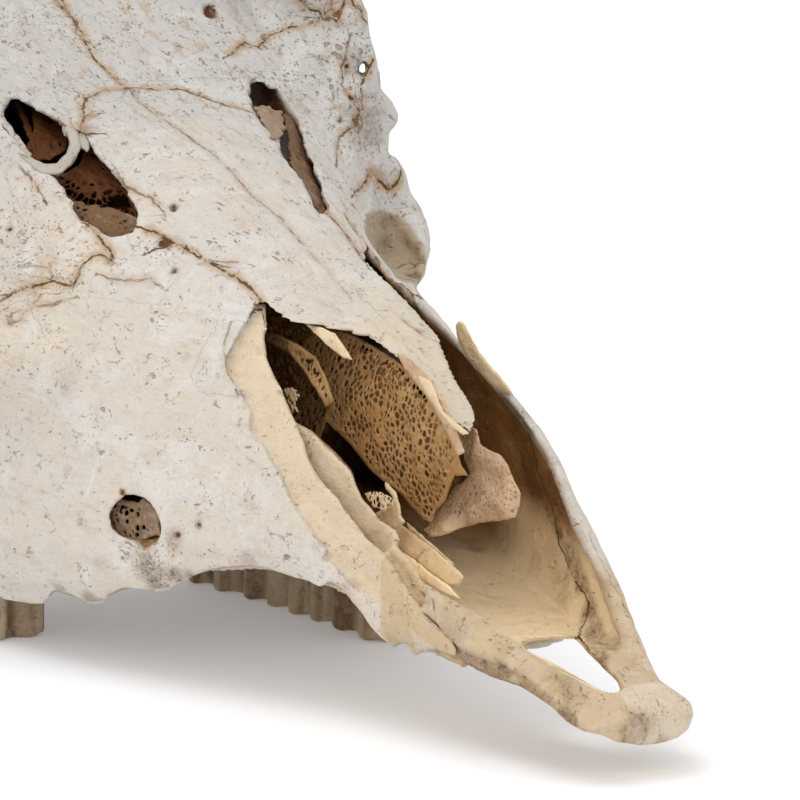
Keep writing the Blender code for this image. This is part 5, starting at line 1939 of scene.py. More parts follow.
    def inner_point(self, px: float, py: float) -> np.ndarray:
        """Find where the line of sight through a pixel leaves the nose cavity.

        Args:
            px: Place across in the photograph, in pixels.
            py: Place down in the photograph, in pixels.

        Returns:
            The place.
        """
        start, way = VIEW.ray(px, py)
        points = start + np.arange(900.0, 1200.0, 0.25)[:, None] * way
        skin = self.form.block.read(self.form.skin, points)
        floor = np.interp(points[:, 1], FLOOR_Y, FLOOR_Z)
        hollow = np.flatnonzero((skin < -1.6) & (points[:, 2] > floor) & (points[:, 1] > 8.0))
        return points[hollow[-1]] if len(hollow) else points[0]

    def stains(self, shell: Shell) -> np.ndarray:
        """Darken the places where soil has clung, and paint shade in and round the holes.

        Args:
            shell: The mesh.

        Returns:
            How dark each point is.
        """
        x, y, z = shell.points.T
        total = np.zeros(len(x))
        for centre, radius, dark in self.spots:
            away = distance_from(shell.points, centre) / radius
            total = np.maximum(total, dark * step_up(1.3, 0.35, away + 0.4 * self.medium.at(x, y, z)))
        return total

    def weather(self, shell: Shell, share: np.ndarray) -> None:
        """Give a mesh its worn, uneven surface and open seams.

        Args:
            shell: The mesh.
            share: The bone's share of the head, if it has seams.
        """
        x, y, z = shell.points.T
        amount = 0.22 * self.broad.at(x, y, z) + 0.15 * self.medium.at(x, y, z)
        amount = (amount + 0.09 * self.fine.at(x, y, z)) * (1.0 - 0.5 * step_up(30.0, 16.0, y))
        bumps = self.fine.at(x * 0.8, y * 0.45, z * 0.8) + 0.6 * self.medium.at(x * 1.6, y, z * 1.6)
        amount = amount + self.roughness(shell.points) * bumps
        away, _, weight = self.seams(shell, share, np.zeros_like(x))
        shell.push(amount - self.groove_depth * weight * np.exp(-(away / self.groove_width) ** 2))
        shell.points[:, 2] = np.maximum(shell.points[:, 2], -LIFT)


class NodeBox:
    """The box of a CAD node, in millimetres from the muzzle tip."""

    def __init__(self, node: str, room: float = 2.0) -> None:
        """Read the node's box."""
        low, high = (np.array(corner) / MM + np.array((0.0, ORIGIN_Y, -LIFT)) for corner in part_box(node))
        self.low, self.high = low - room, high + room


TRIMS: dict[str, Rows] = {
    "nasal": NASAL_EDGES, "plate": NEAR_PLATE, "pocket": NEAR_POCKET_PLATE, "crust": CRUST,
    "channel": NEAR_CHANNEL, "far": FAR_MAXILLA, "snout": SNOUT, "bar": NEAR_BAR, "fissure": FISSURE,
    "near_vacuity": NEAR_VACUITY, "far_vacuity": FAR_VACUITY, "cheek": CHEEK_HOLE, "brow": BROW_HOLE,
    "nasal_hole": NASAL_HOLE, "lacrimal_hole": LACRIMAL_HOLE, "bar_step": BAR_STEP,
    "orbit_edge": ORBIT_EDGE,
}


@dataclass
class SkullBones:
    """The flat and hollow bones of the head, each with its own share of the form."""

    shop: Workshop
    gap: float = -0.55
    channel_depth: float = 1.35
    ledge_depth: float = 1.5
    nasal_thick: float = 1.5
    nasal_edge: float = 0.6
    open_end: float = 100.0
    maxilla_front: float = 24.0
    premaxilla_end: Row = (58.0, 34.0)
    trims: dict[str, PixelShape] = field(default_factory=lambda: {
        name: PixelShape(outline) for name, outline in TRIMS.items()})

    NODES = ("nasal_left", "nasal_right", "premaxilla_left", "premaxilla_right", "frontal_left",
             "frontal_right", "lacrimal_left", "lacrimal_right", "zygomatic_left", "zygomatic_right",
             "temporal_left", "temporal_right", "occipital", "parietal", "maxilla_left", "maxilla_right",
             "skull_base")
    # Bones behind the eyes, which need no fine mesh.
    PLAIN = ("temporal_left", "temporal_right", "zygomatic_right", "occipital", "parietal", "skull_base")
    # Holes: outline, side, nearest and farthest place from the middle, depth.
    HOLES = (("near_vacuity", -1, 8.0, 40.0, 7.5), ("far_vacuity", 1, 8.0, 29.5, 7.5),
             ("cheek", -1, 20.0, 60.0, 5.0), ("brow", 1, 15.0, 40.0, 0.8),
             ("nasal_hole", -1, 2.0, 24.0, 0.6), ("lacrimal_hole", 1, 30.0, 62.0, 14.0))
    # A hole deeper than this has a ragged edge.
    RAGGED_FROM = 6.0

    def build(self) -> None:
        """Build every bone."""
        material = self.shop.palette.bone(BoneFinish("dry_bone"))
        for node in self.NODES:
            shell, share = self.shell(node)
            self.shop.weather(shell, share)
            marks = self.shop.marks(shell, share)
            self.correct_marks(node, shell, marks)
            settle(make_object(node + "_bone", [shell], [marks], material), node)

    def correct_marks(self, node: str, shell: Shell, marks: Marks) -> None:
        """Set right the marks of the bones round the open nose.

        Args:
            node: Name of the CAD node.
            shell: The mesh.
            marks: Its marks, which are changed.
        """
        y, pixels = shell.points[:, 1], shell.pixels()
        if node == "maxilla_right":
            edge = step_up(0.1, -0.6, self.trims["channel"].at(*pixels))
            fold = step_up(0.4, -0.2, self.trims["pocket"].at(*pixels)) * step_up(96.0, 90.0, y)
            marks["inside"] = marks["inside"] * (1.0 - 0.9 * fold)
            marks["cream"] = np.maximum(np.maximum(marks["cream"] * 0.35, edge * 0.95), fold)
        if node == "premaxilla_right":
            # Soil brown and painted shade: the recessed step between the tongue and the near bar is
            # darkened.
            edge = step_up(0.1, -0.5, self.trims["bar_step"].at(*pixels))
            mottled = np.clip(0.4 + self.shop.broad.at(*(shell.points * 1.7).T), 0.0, 1.0)
            mottled = 0.38 * mottled * step_up(10.0, 18.0, y)
            marks["stain"] = np.maximum(np.maximum(marks["stain"], 0.7 * edge), mottled)
        if node in ("premaxilla_left", "maxilla_left"):
            away = outline_distance(LEFT_NOSTRIL, y, shell.points[:, 2])
            crust = step_up(0.5, -0.8, self.trims["crust"].at(*pixels))
            marks["stain"] = np.maximum(marks["stain"], 0.7 * crust * marks["inside"])
            away = away + 0.5 * self.shop.medium.at(*shell.points.T)
            marks["inside"] = marks["inside"] * step_up(3.8, 5.2, away)

    def shell(self, node: str) -> tuple[Shell, np.ndarray]:
        """Make one bone's mesh.

        Args:
            node: Name of the CAD node.

        Returns:
            The mesh and the bone's share of the head.
        """
        box = NodeBox(node)
        if node == "maxilla_right":
            box.low[1] = self.maxilla_front
        if node == "premaxilla_right":
            box.high[1:] = self.premaxilla_end
        block, place = self.shop.form.window(box.low, box.high)
        skin, flesh = self.shop.form.skin[place], self.shop.form.flesh[place]
        share = self.share(node, block)
        if node == "maxilla_right":
            corner = overlap(self.at("plate", block), -self.at("nasal", block), 78.0 - block.y,
                             block.y - 106.0, block.x)
            share = np.minimum(share, corner)
        plump, recess = self.shop.plump(block.y), self.recess(node, block)
        skin, flesh = skin - plump + recess, flesh - plump + recess
        solid = cut(flesh, self.shop.inside.hollow(block, skin), 0.6)
        solid = cut(solid, self.shop.inside.chambers(block, skin), 0.8)
        if node.startswith("nasal"):
            front, outline = block.y < self.open_end, -self.at("nasal", block)
            edge = step_up(0.0, 5.0, np.where(front, outline, 9.0))
            thick = self.nasal_edge + (self.nasal_thick - self.nasal_edge) * edge
            solid = cut(solid, skin + thick, 0.3)
            solid = np.where(front, cut(solid, outline, 0.5), solid)
        value = np.maximum(solid, share + self.gap)
        if node.startswith("maxilla"):
            value = self.maxilla(node, block, skin, value)
        if node.startswith("premaxilla"):
            value = self.premaxilla(node, block, skin, value)
        value = self.openings(block, skin, value)
        near_eye = overlap(30.0 - block.x, 112.0 - block.y, block.y - 196.0, 14.0 - block.z) < 0.0
        if near_eye.any():
            value = np.where(near_eye, cut(value, -self.at("orbit_edge", block), 1.6), value)
        value = np.maximum(value, -LIFT - block.z)
        return Shell(block, value, 1, 2 if node in self.PLAIN else 1), share

    def recess(self, node: str, block: Block) -> np.ndarray | float:
        """Tell how far the skin is pressed in on the right side of the nose.

        Args:
            node: Name of the CAD node.
            block: Lattice of places.

        Returns:
            Depths in millimetres.
        """
        if node == "maxilla_right":
            edge = self.at("channel", block)
            depth = step_up(0.2, -0.2, edge) * (1.0 + 0.5 * step_up(0.0, -3.0, edge))
            depth = depth * step_up(100.0, 92.0, block.y)
            return self.channel_depth * depth * (block.x < 0.0) * step_up(40.0, 52.0, block.y)
        if node == "premaxilla_right":
            ledge = step_up(0.2, -0.3, self.at("bar_step", block))
            return self.ledge_depth * ledge * (block.x < 0.0) * step_up(9.0, 13.0, block.y)
        return 0.0

    def at(self, name: str, block: Block) -> np.ndarray:
        """Read one of the outlines over a block."""
        return self.trims[name].at(*block.pixels())

    def share(self, node: str, block: Block) -> np.ndarray:
        """Give the node's share of the head over a block."""
        return self.shop.sutures.share(block, node)

    def floor_zone(self, block: Block) -> np.ndarray:
        """Be negative in the palate, which the side walls' outlines leave alone.

        Args:
            block: Lattice of places.

        Returns:
            Distances, negative inside.
        """
        top = block.profile((0.0, 30.0, 45.0, 60.0, 90.0), (2.0, 9.5, 14.5, 18.5, 24.0))
        reach = block.profile((0.0, 30.0, 60.0, 80.0, 100.0), (7.0, 8.5, 9.5, 14.0, 20.0))
        return np.maximum(block.z - top, np.abs(block.x) - reach)

    def maxilla(self, node: str, block: Block, skin: np.ndarray, value: np.ndarray) -> np.ndarray:
        """Break the free edges of one upper jaw bone.

        Args:
            node: Name of the CAD node.
            block: Lattice of places.
            skin: Distance to the head's skin.
            value: Form of the bone so far.

        Returns:
            The changed form.
        """
        floor = self.floor_zone(block)
        if node.endswith("left"):
            value = self.rim(block, skin, value)
            trimmed = cut(value, -np.minimum(self.at("far", block), floor), 0.5)
            return np.where(block.y < 96.0, trimmed, value)
        plate = self.at("plate", block)
        value = np.maximum(value, np.minimum(plate, floor))
        tongue = overlap(np.abs(skin + 0.75) - 0.75, plate, block.x + 5.0, 26.0 - block.y, block.y - 60.0)
        value = join(value, tongue, 0.6)
        rail = overlap(np.abs(skin + 3.0) - 1.1, self.at("bar", block), block.x + 5.0, 33.0 - block.y,
                       block.y - 60.0)
        value = join(value, rail, 0.8)
        pocket = overlap(np.abs(skin + 3.4) - 0.55, self.at("pocket", block), block.x + 4.0,
                         block.y - 96.0)
        return join(value, pocket, 0.8)

    def rim(self, block: Block, skin: np.ndarray, value: np.ndarray) -> np.ndarray:
        """Break the left side wall along its upper edge and round that edge.

        Args:
            block: Lattice of places.
            skin: Distance to the head's skin.
            value: Form of the bone so far.

        Returns:
            The changed form.
        """
        away = self.shop.sutures.side_view(LEFT_NOSTRIL, block)
        slope = np.gradient(skin, STEP)
        ahead = VIEW.axes()[2]
        facing = -(slope[0] * ahead[0] + slope[1] * ahead[1] + slope[2] * ahead[2])
        limit = block.profile((8.0, 20.0, 32.0, 44.0, 90.0), (1.4, 0.7, 0.3, 0.08, 0.08))
        upper = (block.x > 6.0) & (block.y < 88.0) & (block.z > 9.0 + 0.28 * block.y)
        away = np.minimum(away, np.where(upper, (limit - facing) * 9.0, 9.0))
        value = cut(value, away, 0.6)
        thick = block.profile((0.0, 20.0, 40.0, 50.0, 80.0), (2.6, 2.3, 2.0, 0.8, 0.6))
        roll = np.sqrt((away - thick) ** 2 + (skin + thick) ** 2) - thick
        roll = overlap(roll, 4.0 - block.x, 9.0 - block.y, block.y - 84.0)
        return join(value, roll, 1.2)

    def premaxilla(self, node: str, block: Block, skin: np.ndarray, value: np.ndarray) -> np.ndarray:
        """Trim one premaxilla to its outline and open the gap in the palate.

        Args:
            node: Name of the CAD node.
            block: Lattice of places.
            skin: Distance to the head's skin.
            value: Form of the bone so far.

        Returns:
            The changed form.
        """
        if node.endswith("left"):
            value = self.rim(block, skin, value)
        value = cut(value, 0.2 - self.at("snout", block), 1.0)
        if node.endswith("right"):
            floor = np.maximum(block.z - 10.0, -7.5 - block.x)
            value = cut(value, -np.minimum(self.at("bar", block), floor), 0.8)
            layer = overlap(-skin - 1.6, self.at("plate", block), 27.0 - block.y)
            value = np.maximum(value, -layer + self.gap)
        return cut(value, overlap(self.at("fissure", block), block.z - 18.0, 5.0 - block.y), 1.0)

    def openings(self, block: Block, skin: np.ndarray, value: np.ndarray) -> np.ndarray:
        """Cut the holes that the photograph shows."""
        for name, side, reach, limit, depth in self.HOLES:
            zone = overlap(-(skin + depth), reach - block.x * side, block.x * side - limit)
            if (zone < 0.0).any():
                ragged = 0.22 * self.shop.fine.over(block) if depth > self.RAGGED_FROM else 0.0
                hole = np.maximum(self.at(name, block) + ragged, zone)
                if (hole < 0.5).any():
                    value = cut(value, hole, 0.5)
        return value


def settle(piece: bpy.types.Object, node: str) -> None:
    """Let a piece stand for a CAD node and ride on the one body.

    Args:
        piece: The mesh object.
        node: Name of the CAD node.
    """
    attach(piece, "root")
    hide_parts(node)
    LOG.info("%s: %d faces", piece.name, len(piece.data.polygons))


# Their deep colours are painted shade, and their floor colours painted light.
NOSE_FINISHES: dict[Plate, BoneFinish] = {
    Plate.NOSE: BoneFinish(
        "nose_bone", inner=(0.43, 0.25, 0.10), deep=(0.33, 0.14, 0.032), crust=(0.58, 0.43, 0.27),
        pits=0.5),
    Plate.CRUSTY: BoneFinish(
        "crusty_bone", inner=(0.61, 0.42, 0.26), deep=(0.29, 0.145, 0.055), crust=(0.72, 0.61, 0.49),
        pits=0.95),
    Plate.WHITE: BoneFinish(
        "pale_plate", inner=(0.78, 0.60, 0.38), deep=(0.66, 0.44, 0.22), crust=(0.82, 0.72, 0.56),
        floor=(0.80, 0.60, 0.36), pits=0.4),
}


@dataclass
class NosePlates:
    """The thin broken plates inside the nose."""

    shop: Workshop
    step: float = 0.22

    INNER_NODES = ("turbinate_left", "turbinate_right", "vomer")

    def build(self) -> None:
        """Build the leaves of every node."""
        finishes = {plate: self.shop.palette.bone(finish) for plate, finish in NOSE_FINISHES.items()}
        for node, leaves in NOSE_LEAVES.items():
            slot = "inner_bone" if node in self.INNER_NODES else "bone"
            for plate in Plate:
                shells = [self.shell(leaf) for leaf in leaves if leaf.finish is plate]
                if shells:
                    marks = [self.shop.marks(shell, None, True) for shell in shells]
                    name = f"{node}_{plate.value}_plates"
                    settle(make_object(name, shells, marks, finishes[plate]), node)

    def shell(self, leaf: Leaf) -> Shell:
        """Make one leaf's mesh.

        Args:
            leaf: Plan of the leaf.

        Returns:
            The mesh.
        """
        x0 = leaf.place[0]
        corners = []
        for px, py in leaf.outline:
            start, way = VIEW.ray(px, py)
            for depth in (x0 - 4.0, x0 + 4.0):
                corners.append(start + way * ((depth - start[0]) / way[0]))
        low, high = np.min(corners, axis=0), np.max(corners, axis=0)
        block = Block(tuple(low - 1.0), tuple(high + 1.0), self.step)
        shell = Shell(block, leaf.values(block, self.shop.medium, self.shop.cells))
        shell.push(0.10 * self.shop.fine.at(*shell.points.T))
        return shell


class Tone(Enum):
    """How pale a plate in an opening is."""

    BROWN = auto()
    GREY = auto()
    PALE = auto()


@dataclass(frozen=True)
class Sheet:
    """A thin plate that follows the skin at some depth behind an opening.

    Attributes:
        node: CAD node that it belongs to.
        outline: Corners in pixels.
        depth: How deep its middle lies below the skin.
        thick: Thickness.
        pores: Size of the pores' cells and width of the struts, or nothing.
        slope: How much deeper it lies for each millimetre lower down.
        tone: How pale it is.
        ragged: How far its edge strays, in millimetres.
    """

    node: str
    outline: Rows
    depth: float
    thick: float = 1.0
    pores: Row = ()
    slope: float = 0.0
    tone: Tone = Tone.BROWN
    ragged: float = 0.2


SHEETS = (
    Sheet("lacrimal_right", STRAP, 0.5, 1.9, (), 0.0, Tone.PALE),
    Sheet("nasal_right", BRIDGE, 1.1, 1.4, (), 0.0, Tone.PALE, 0.4),
    Sheet("lacrimal_right", SPLINTER, 0.5, 0.9, (), 0.0, Tone.PALE),
    Sheet("maxilla_right", LOWER_PLATE, 3.8, 0.8, (1.35, 0.20), 0.10),
    Sheet("maxilla_right", NEAR_FLOOR, 2.7, 0.7, (0.9, 0.26), 0.0, Tone.GREY, 0.5),
    Sheet("frontal_right", UPPER_PLATE, 4.6, 0.7, (2.6, 0.36), 0.0),
    Sheet("frontal_right", RIB, 4.6, 1.0),
    Sheet("maxilla_right", CHEEK_LATTICE, 2.2, 0.7, (1.1, 0.13), 0.0, Tone.GREY, 0.5),
    Sheet("frontal_left", FLAKE, 0.1, 0.9, (), 0.0, Tone.GREY, 0.7),
    Sheet("frontal_left", FAR_PLATE, 1.9, 0.9, (1.5, 0.42), 0.0, Tone.GREY, 0.5))


# Their deep colours are painted shade.
SHEET_FINISHES: dict[Tone, BoneFinish] = {
    Tone.BROWN: BoneFinish(
        "inner_plate", outer=(0.36, 0.22, 0.11), inner=(0.25, 0.09, 0.02), deep=(0.11, 0.034, 0.007),
        crust=(0.36, 0.19, 0.075), pits=0.6),
    Tone.GREY: BoneFinish(
        "grey_plate", inner=(0.37, 0.27, 0.18), deep=(0.19, 0.105, 0.05), crust=(0.60, 0.50, 0.39),
        pits=0.9),
    Tone.PALE: BoneFinish(
        "strap_bone", outer=(0.44, 0.385, 0.30), flaky=(0.52, 0.48, 0.41), cream=(0.44, 0.34, 0.225)),
}


@dataclass
class Openings:
    """The straps, splinters and porous plates that show in the openings of the face."""

    shop: Workshop
    step: float = 0.22

    def build(self) -> None:
        """Build every sheet."""
        finishes = {tone: self.shop.palette.bone(finish) for tone, finish in SHEET_FINISHES.items()}
        for count, sheet in enumerate(SHEETS):
            shell = self.shell(sheet)
            marks = self.shop.marks(shell, None, sheet.tone is not Tone.PALE)
            if sheet.tone is Tone.PALE:
                marks["inside"] = marks["inside"] * 0.0
            name = f"{sheet.node}_sheet_{count}"
            settle(make_object(name, [shell], [marks], finishes[sheet.tone]), sheet.node)

    def shell(self, sheet: Sheet) -> Shell:
        """Make one sheet's mesh.

        Args:
            sheet: Plan of the sheet.

        Returns:
            The mesh.
        """
        corners = []
        for px, py in sheet.outline:
            point = self.shop.form.surface_point(px, py)
            _, way = VIEW.ray(px, py)
            corners.extend((point - way * 1.5, point + way * (sheet.depth * 1.5 + 2.0)))
        block = Block(tuple(np.min(corners, axis=0) - 1.5), tuple(np.max(corners, axis=0) + 1.5), self.step)
        places = block.points(np.ones(tuple(block.shape), dtype=bool))
        skin = self.shop.form.block.read(self.shop.form.skin, places).reshape(tuple(block.shape))
        middle = sheet.depth + 0.35 * self.shop.medium.over(block)
        middle = middle + sheet.slope * (places[:, 2].max() - block.z) * 0.5
        rim = PixelShape(sheet.outline).at(*block.pixels())
        rim = rim + sheet.ragged * self.shop.fine.over(block)
        values = cut(np.abs(skin + middle) - 0.5 * sheet.thick, -rim, 0.5)
        if sheet.pores:
            size, strut = sheet.pores
            width = strut * (1.15 + 1.2 * self.shop.medium.at(block.x * 0.7, block.y * 0.7, block.z * 0.7))
            cells = self.shop.cells.setdefault(size, Cells(size, 31))
            foam = cells.walls(places).reshape(skin.shape) - width
            values = cut(values, -np.minimum(foam, -0.9 - rim), 0.25)
        return Shell(block, values)


TOOTH_FINISH = BoneFinish(
    "teeth", outer=(0.47, 0.355, 0.225), flaky=(0.60, 0.49, 0.35), cream=(0.50, 0.36, 0.22), roughness=0.4,
    pits=0.35)


@dataclass
class Teeth:
    """The cheek teeth that are left: ribbed columns with worn crowns that bear on the floor."""

    shop: Workshop
    root: float = 17.0
    step: float = 0.45
    room: float = 1.5
    one_lobe_below: float = 9.0
    crescent_depth: float = 1.6
    cusp_height: float = 0.9

    def build(self) -> None:
        """Build the teeth of both sides."""
        material = self.shop.palette.bone(TOOTH_FINISH)
        for side in Side:
            shells = [self.shell(plan, side) for plan in TEETH if side in plan.sides]
            marks = [self.marks(shell) for shell in shells]
            piece = make_object(f"teeth_{side.word}", shells, marks, material)
            settle(piece, f"maxilla_{side.word}")

    def marks(self, shell: Shell) -> Marks:
        """Paint shade into the grooves as brown stripes, and colour the worn crowns.

        Args:
            shell: The mesh.

        Returns:
            The marks by name.
        """
        x, y, z = shell.points.T
        # Painted shade: brown stripes along the teeth stand in for the shade in their grooves.
        groove_shade = np.clip(1.6 * self.shop.medium.at(x * 1.4, y * 2.2, z * 0.15), 0.0, 1.0)
        marks = dict.fromkeys(Palette.MARKS, np.zeros_like(x))
        far = np.full_like(x, self.shop.seam_reach)
        marks.update(seam_away=far, seam_side=far, cream=step_up(-2.0, -3.0, z), stain=groove_shade)
        return marks

    def shell(self, plan: ToothPlan, side: Side) -> Shell:
        """Make one tooth.

        Args:
            plan: Plan of the tooth.
            side: Side of the mouth.

        Returns:
            The mesh.
        """
        middle = side.value * float(np.interp(0.5 * (plan.first + plan.last), TOOTH_ROW_Y, TOOTH_ROW_X))
        half, room = 0.5 * plan.width + self.room, self.room
        block = Block((middle - half, plan.first - room, -LIFT - room),
                      (middle + half, plan.last + room, self.root + 1.0), self.step)
        lobes = 1 if plan.last - plan.first < self.one_lobe_below else 2
        length = (plan.last - plan.first) / lobes
        value = np.full(tuple(block.shape), 9.0, dtype=np.float32)
        taper = 1.0 - 0.1 * step_up(4.0, 16.0, block.z)
        for lobe in range(lobes):
            y0 = plan.first + (lobe + 0.5) * length
            for shift in (-0.24, 0.24):
                x0 = middle + shift * plan.width
                ring = np.sqrt(((block.x - x0) / (0.27 * plan.width)) ** 2
                               + ((block.y - y0) / (0.5 * length)) ** 2)
                value = join(value, ((ring - taper) * 0.26 * plan.width).astype(np.float32), 1.2)
            for rib in (-0.46, 0.0, 0.46):
                ring = np.sqrt((block.x - middle - side.value * 0.44 * plan.width) ** 2
                               + (block.y - y0 - rib * length) ** 2)
                value = join(value, (ring - 0.9 * taper).astype(np.float32), 0.9)
        across = block.x - middle
        for lobe in range(lobes):
            y0 = plan.first + (lobe + 0.5) * length
            bow = np.sqrt(across ** 2 + (block.y - y0) ** 2)
            crescent = overlap(np.abs(bow - 0.24 * plan.width) - 0.45, -across * side.value - 1.0,
                               block.z + LIFT - self.crescent_depth)
            value = cut(value, crescent, 0.3)
        cusps = 0.5 + 0.5 * np.cos((block.y - plan.first) / length * math.tau)
        crown = self.cusp_height * cusps * step_up(0.2, 0.5, np.abs(across) / plan.width)
        return Shell(block, overlap(value, -LIFT + crown - block.z, block.z - self.root))


@dataclass(frozen=True)
class HornFinish:
    """Colours of dark horn.

    Attributes:
        dark: Its main colour.
        brown: Colour of its patches.
        worn: Colour of the rings' crests.
        fibre: Colour of the fibres.
        roughness: Roughness between the fibres.
        relief: Strength of the fibres' relief.
    """

    dark: Row = (0.030, 0.022, 0.017)
    brown: Row = (0.075, 0.052, 0.036)
    worn: Row = (0.16, 0.115, 0.075)
    fibre: Row = (0.20, 0.16, 0.12)
    roughness: float = 0.32
    relief: float = 0.5


@dataclass
class Horns:
    """The ringed horn sheaths, curved back and then forward."""

    shop: Workshop
    finish: HornFinish = HornFinish()
    rings: int = 15
    sides: int = 96
    stations: int = 480
    ring_height: float = 1.1
    ringed_share: float = 0.62
    ring_rise: float = 0.7
    root_depth: float = 0.3

    def build(self) -> None:
        """Build both horns."""
        material = self.material()
        for side in Side:
            sheath = Sheath(self, side)
            piece = make_object(f"horn_{side.word}_sheath", [sheath], [{"ring": sheath.ring}], material)
            settle(piece, f"horn_{side.word}")

    def material(self) -> bpy.types.Material:
        """Make dark horn with pale worn rings and fine fibres along it.

        Returns:
            The material.
        """
        made, nodes, shader, place = Palette.start("dark_horn")
        finish = self.finish
        long = nodes.stretch(place, (1.0, 0.25, 0.12))
        fibres = nodes.noise(long, 900.0, 5.0, 0.7)
        patches = nodes.ramp(nodes.noise(place, 60.0, 4.0), 0.4, 0.65)
        colour = nodes.coat(finish.dark, (
            (patches, finish.brown), (nodes.times(nodes.mark("ring"), 0.55), finish.worn),
            (nodes.times(nodes.ramp(fibres, 0.5, 0.75), 0.35), finish.fibre)))
        nodes.wire(colour, shader, "Base Color")
        rough = nodes.plus(nodes.times(fibres, 0.25), finish.roughness)
        nodes.wire(rough, shader, "Roughness")
        nodes.bump(fibres, finish.relief, shader)
        return made


class Sheath:
    """The mesh of one horn.

    Args:
        plan: Sizes of the horns.
        side: Side of the animal.
    """

    def __init__(self, plan: Horns, side: Side) -> None:
        """Sweep the horn along its line and ring it."""
        line = np.array(HORN_LINE) * (side.value, 1.0, 1.0)
        knots = tuple((float(index), *point, radius)
                      for index, (point, radius) in enumerate(zip(line.tolist(), HORN_RADII)))
        along = np.linspace(0.0, len(line) - 1.0, plan.stations)
        rows = smooth_rows(knots, along)
        turn = np.linspace(0.0, math.tau, plan.sides, endpoint=False)[None, :]
        height, reach = self._ringed(plan, side, rows[:, 4:], (along / along[-1])[:, None], turn)
        points = self._sweep(plan, rows[:, 1:4], turn, reach)
        ends = points[0].mean(axis=0)[None], points[-1].mean(axis=0)[None]
        self.points = np.concatenate([points.reshape(-1, 3), *ends])
        self.ring = np.concatenate([height.ravel(), (0.0, 0.0)])
        self.faces = self._faces(plan.stations, plan.sides)

    @staticmethod
    def _ringed(plan: Horns, side: Side, radius: np.ndarray, share: np.ndarray,
                turn: np.ndarray) -> tuple[np.ndarray, np.ndarray]:
        """Raise the rings.

        Args:
            plan: Sizes of the horns.
            side: Side of the animal.
            radius: Radius at each station, as a column.
            share: How far along the horn each station lies, as a column.
            turn: Angles round the horn, as a row.

        Returns:
            The rings' height, and the distance from the horn's line, at every point.
        """
        wobble = 0.35 * np.sin(turn + side.value) + 0.2 * np.sin(2.0 * turn)
        phase = (share / plan.ringed_share) ** 0.85 * plan.rings + wobble * 0.35
        wave, rise = phase - np.floor(phase), plan.ring_rise
        crest = np.where(wave < rise, step_up(0.0, rise, wave), 1.0 - step_up(rise, 1.0, wave))
        fade = step_up(plan.ringed_share, plan.ringed_share * 0.75, share) * step_up(0.0, 0.02, share)
        height = crest * fade * (0.65 + 0.35 * np.cos(turn + math.pi / 2.0))
        reach = radius - 0.45 * fade + plan.ring_height * height
        ridges = 0.12 * np.sin(turn * 22.0) + 0.08 * np.sin(turn * 41.0 + 4.0 * share)
        return height, reach + ridges * step_up(1.0, 0.9, share)

    @staticmethod
    def _sweep(plan: Horns, centres: np.ndarray, turn: np.ndarray, reach: np.ndarray) -> np.ndarray:
        """Lay rings of points round the horn's line.

        Args:
            plan: Sizes of the horns.
            centres: Middle of each station.
            turn: Angles round the horn, as a row.
            reach: Distance from the line at every point.

        Returns:
            The points by station and angle.
        """
        ahead = np.gradient(centres, axis=0)
        ahead /= np.linalg.norm(ahead, axis=1, keepdims=True)
        across = np.array((1.0, 0.0, 0.0)) - ahead * ahead[:, :1]
        across /= np.linalg.norm(across, axis=1, keepdims=True)
        upward = np.cross(ahead, across)
        outward = across[:, None] * np.cos(turn)[:, :, None] + upward[:, None] * np.sin(turn)[:, :, None]
        points = centres[:, None, :] + reach[:, :, None] * outward
        points[0] += ahead[0] * plan.root_depth
        return points

    @staticmethod
    def _faces(count: int, size: int) -> np.ndarray:
        """Join the rings of points and close both ends.

        Args:
            count: How many rings there are.
            size: How many points each has.

        Returns:
            The faces' corners, four a row.
        """
        near = np.arange(count - 1)[:, None] * size
        step = np.arange(size)
        beside = (step + 1) % size
        faces = np.stack([near + step, near + beside, near + size + beside, near + size + step], axis=2)
        last = (count - 1) * size
        first = np.arange(0, size, 2)
        middle, end = (first + 1) % size, (first + 2) % size
        base, tip = np.full(len(first), count * size), np.full(len(first), count * size + 1)
        return np.concatenate([
            faces.reshape(-1, 4),
            np.stack([base, end, middle, first], axis=1),
            np.stack([tip, last + first, last + middle, last + end], axis=1)])


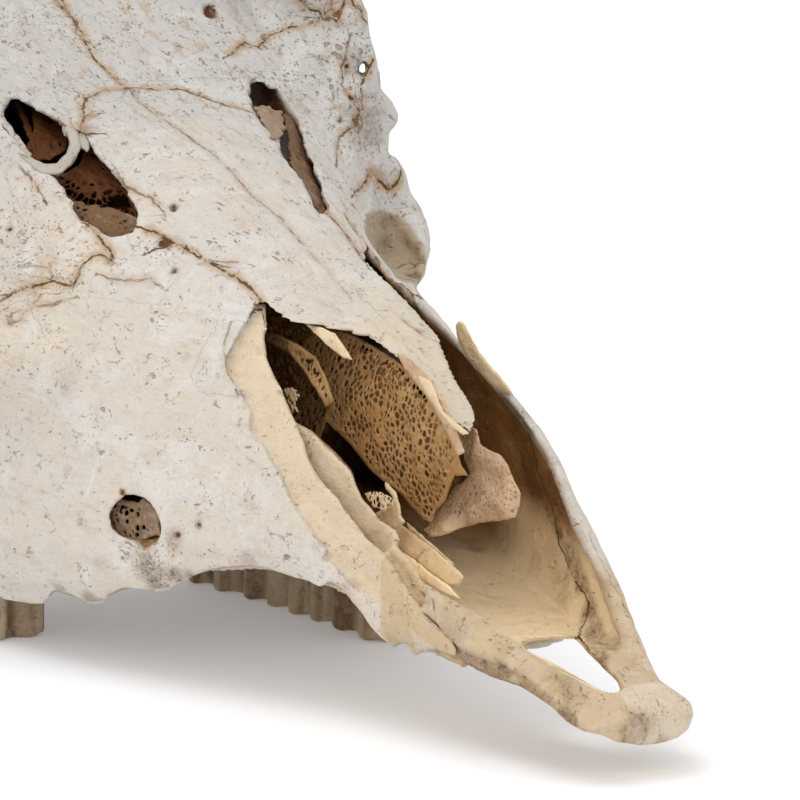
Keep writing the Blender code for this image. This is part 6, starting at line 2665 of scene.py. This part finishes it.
class Studio:
    """Pale floor that glows faintly as painted light, white surroundings and soft lamps."""

    FLOOR_HALF = 3.0

    def build(self) -> None:
        """Make the floor, lamps and camera."""
        mesh = bpy.data.meshes.new("pale_glowing_floor")
        corners = [(x * self.FLOOR_HALF, y * self.FLOOR_HALF, 0.0)
                   for x, y in ((-1.0, -1.0), (1.0, -1.0), (1.0, 1.0), (-1.0, 1.0))]
        mesh.from_pydata(corners, [], [(0, 1, 2, 3)])
        floor = bpy.data.objects.new("pale_glowing_floor", mesh)
        bpy.context.collection.objects.link(floor)
        made = bpy.data.materials.new("pale_glowing_floor")
        made.use_nodes = True
        shader = made.node_tree.nodes["Principled BSDF"]
        shader.inputs["Base Color"].default_value = (0.84, 0.845, 0.865, 1.0)
        # Painted light: the floor glows faintly, which lifts its shadow and lights the skull from below
        # like light thrown back from the floor.
        shader.inputs["Emission Color"].default_value = (1.0, 1.0, 1.0, 1.0)
        shader.inputs["Emission Strength"].default_value = 0.16
        shader.inputs["Roughness"].default_value = 0.9
        shader.inputs["Specular IOR Level"].default_value = 0.1
        mesh.materials.append(made)
        world = bpy.data.worlds.new("white_room")
        world.use_nodes = True
        world.node_tree.nodes["Background"].inputs[0].default_value = (1.0, 1.0, 1.0, 1.0)
        world.node_tree.nodes["Background"].inputs[1].default_value = 0.78
        bpy.context.scene.world = world
        bpy.context.scene.view_settings.view_transform = "Standard"
        self.sun("soft_key", (-0.25, 0.22, 1.0), 0.8, 1.0)
        self.sun("soft_front", (-1.0, -0.9, 0.9), 1.2, 0.65)
        VIEW.make()

    @staticmethod
    def sun(name: str, place: Row, spread: float, strength: float) -> None:
        """Add a far, broad light that shines from a direction.

        Args:
            name: Name of the lamp.
            place: Place that it shines from.
            spread: Angle that the light fills, in radians.
            strength: Its strength.
        """
        light = bpy.data.lights.new(name, "SUN")
        light.angle = spread
        light.energy = strength
        made = bpy.data.objects.new(name, light)
        bpy.context.collection.objects.link(made)
        ahead = -np.array(place) / np.linalg.norm(place)
        right = np.cross(ahead, (0.0, 1.0, 0.0))
        right /= np.linalg.norm(right)
        up = np.cross(right, ahead)
        made.matrix_world = look_matrix(right, up, ahead, np.array(place))


def main() -> None:
    """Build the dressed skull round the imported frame."""
    logging.basicConfig(level=logging.INFO, format="%(message)s")
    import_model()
    Studio().build()
    shop = Workshop(SkullForm(), Sutures(), Inside(), Palette())
    shop.trace()
    LOG.info("form ready")
    SkullBones(shop).build()
    NosePlates(shop).build()
    Openings(shop).build()
    Teeth(shop).build()
    Horns(shop).build()


if __name__ == "__main__":
    main()
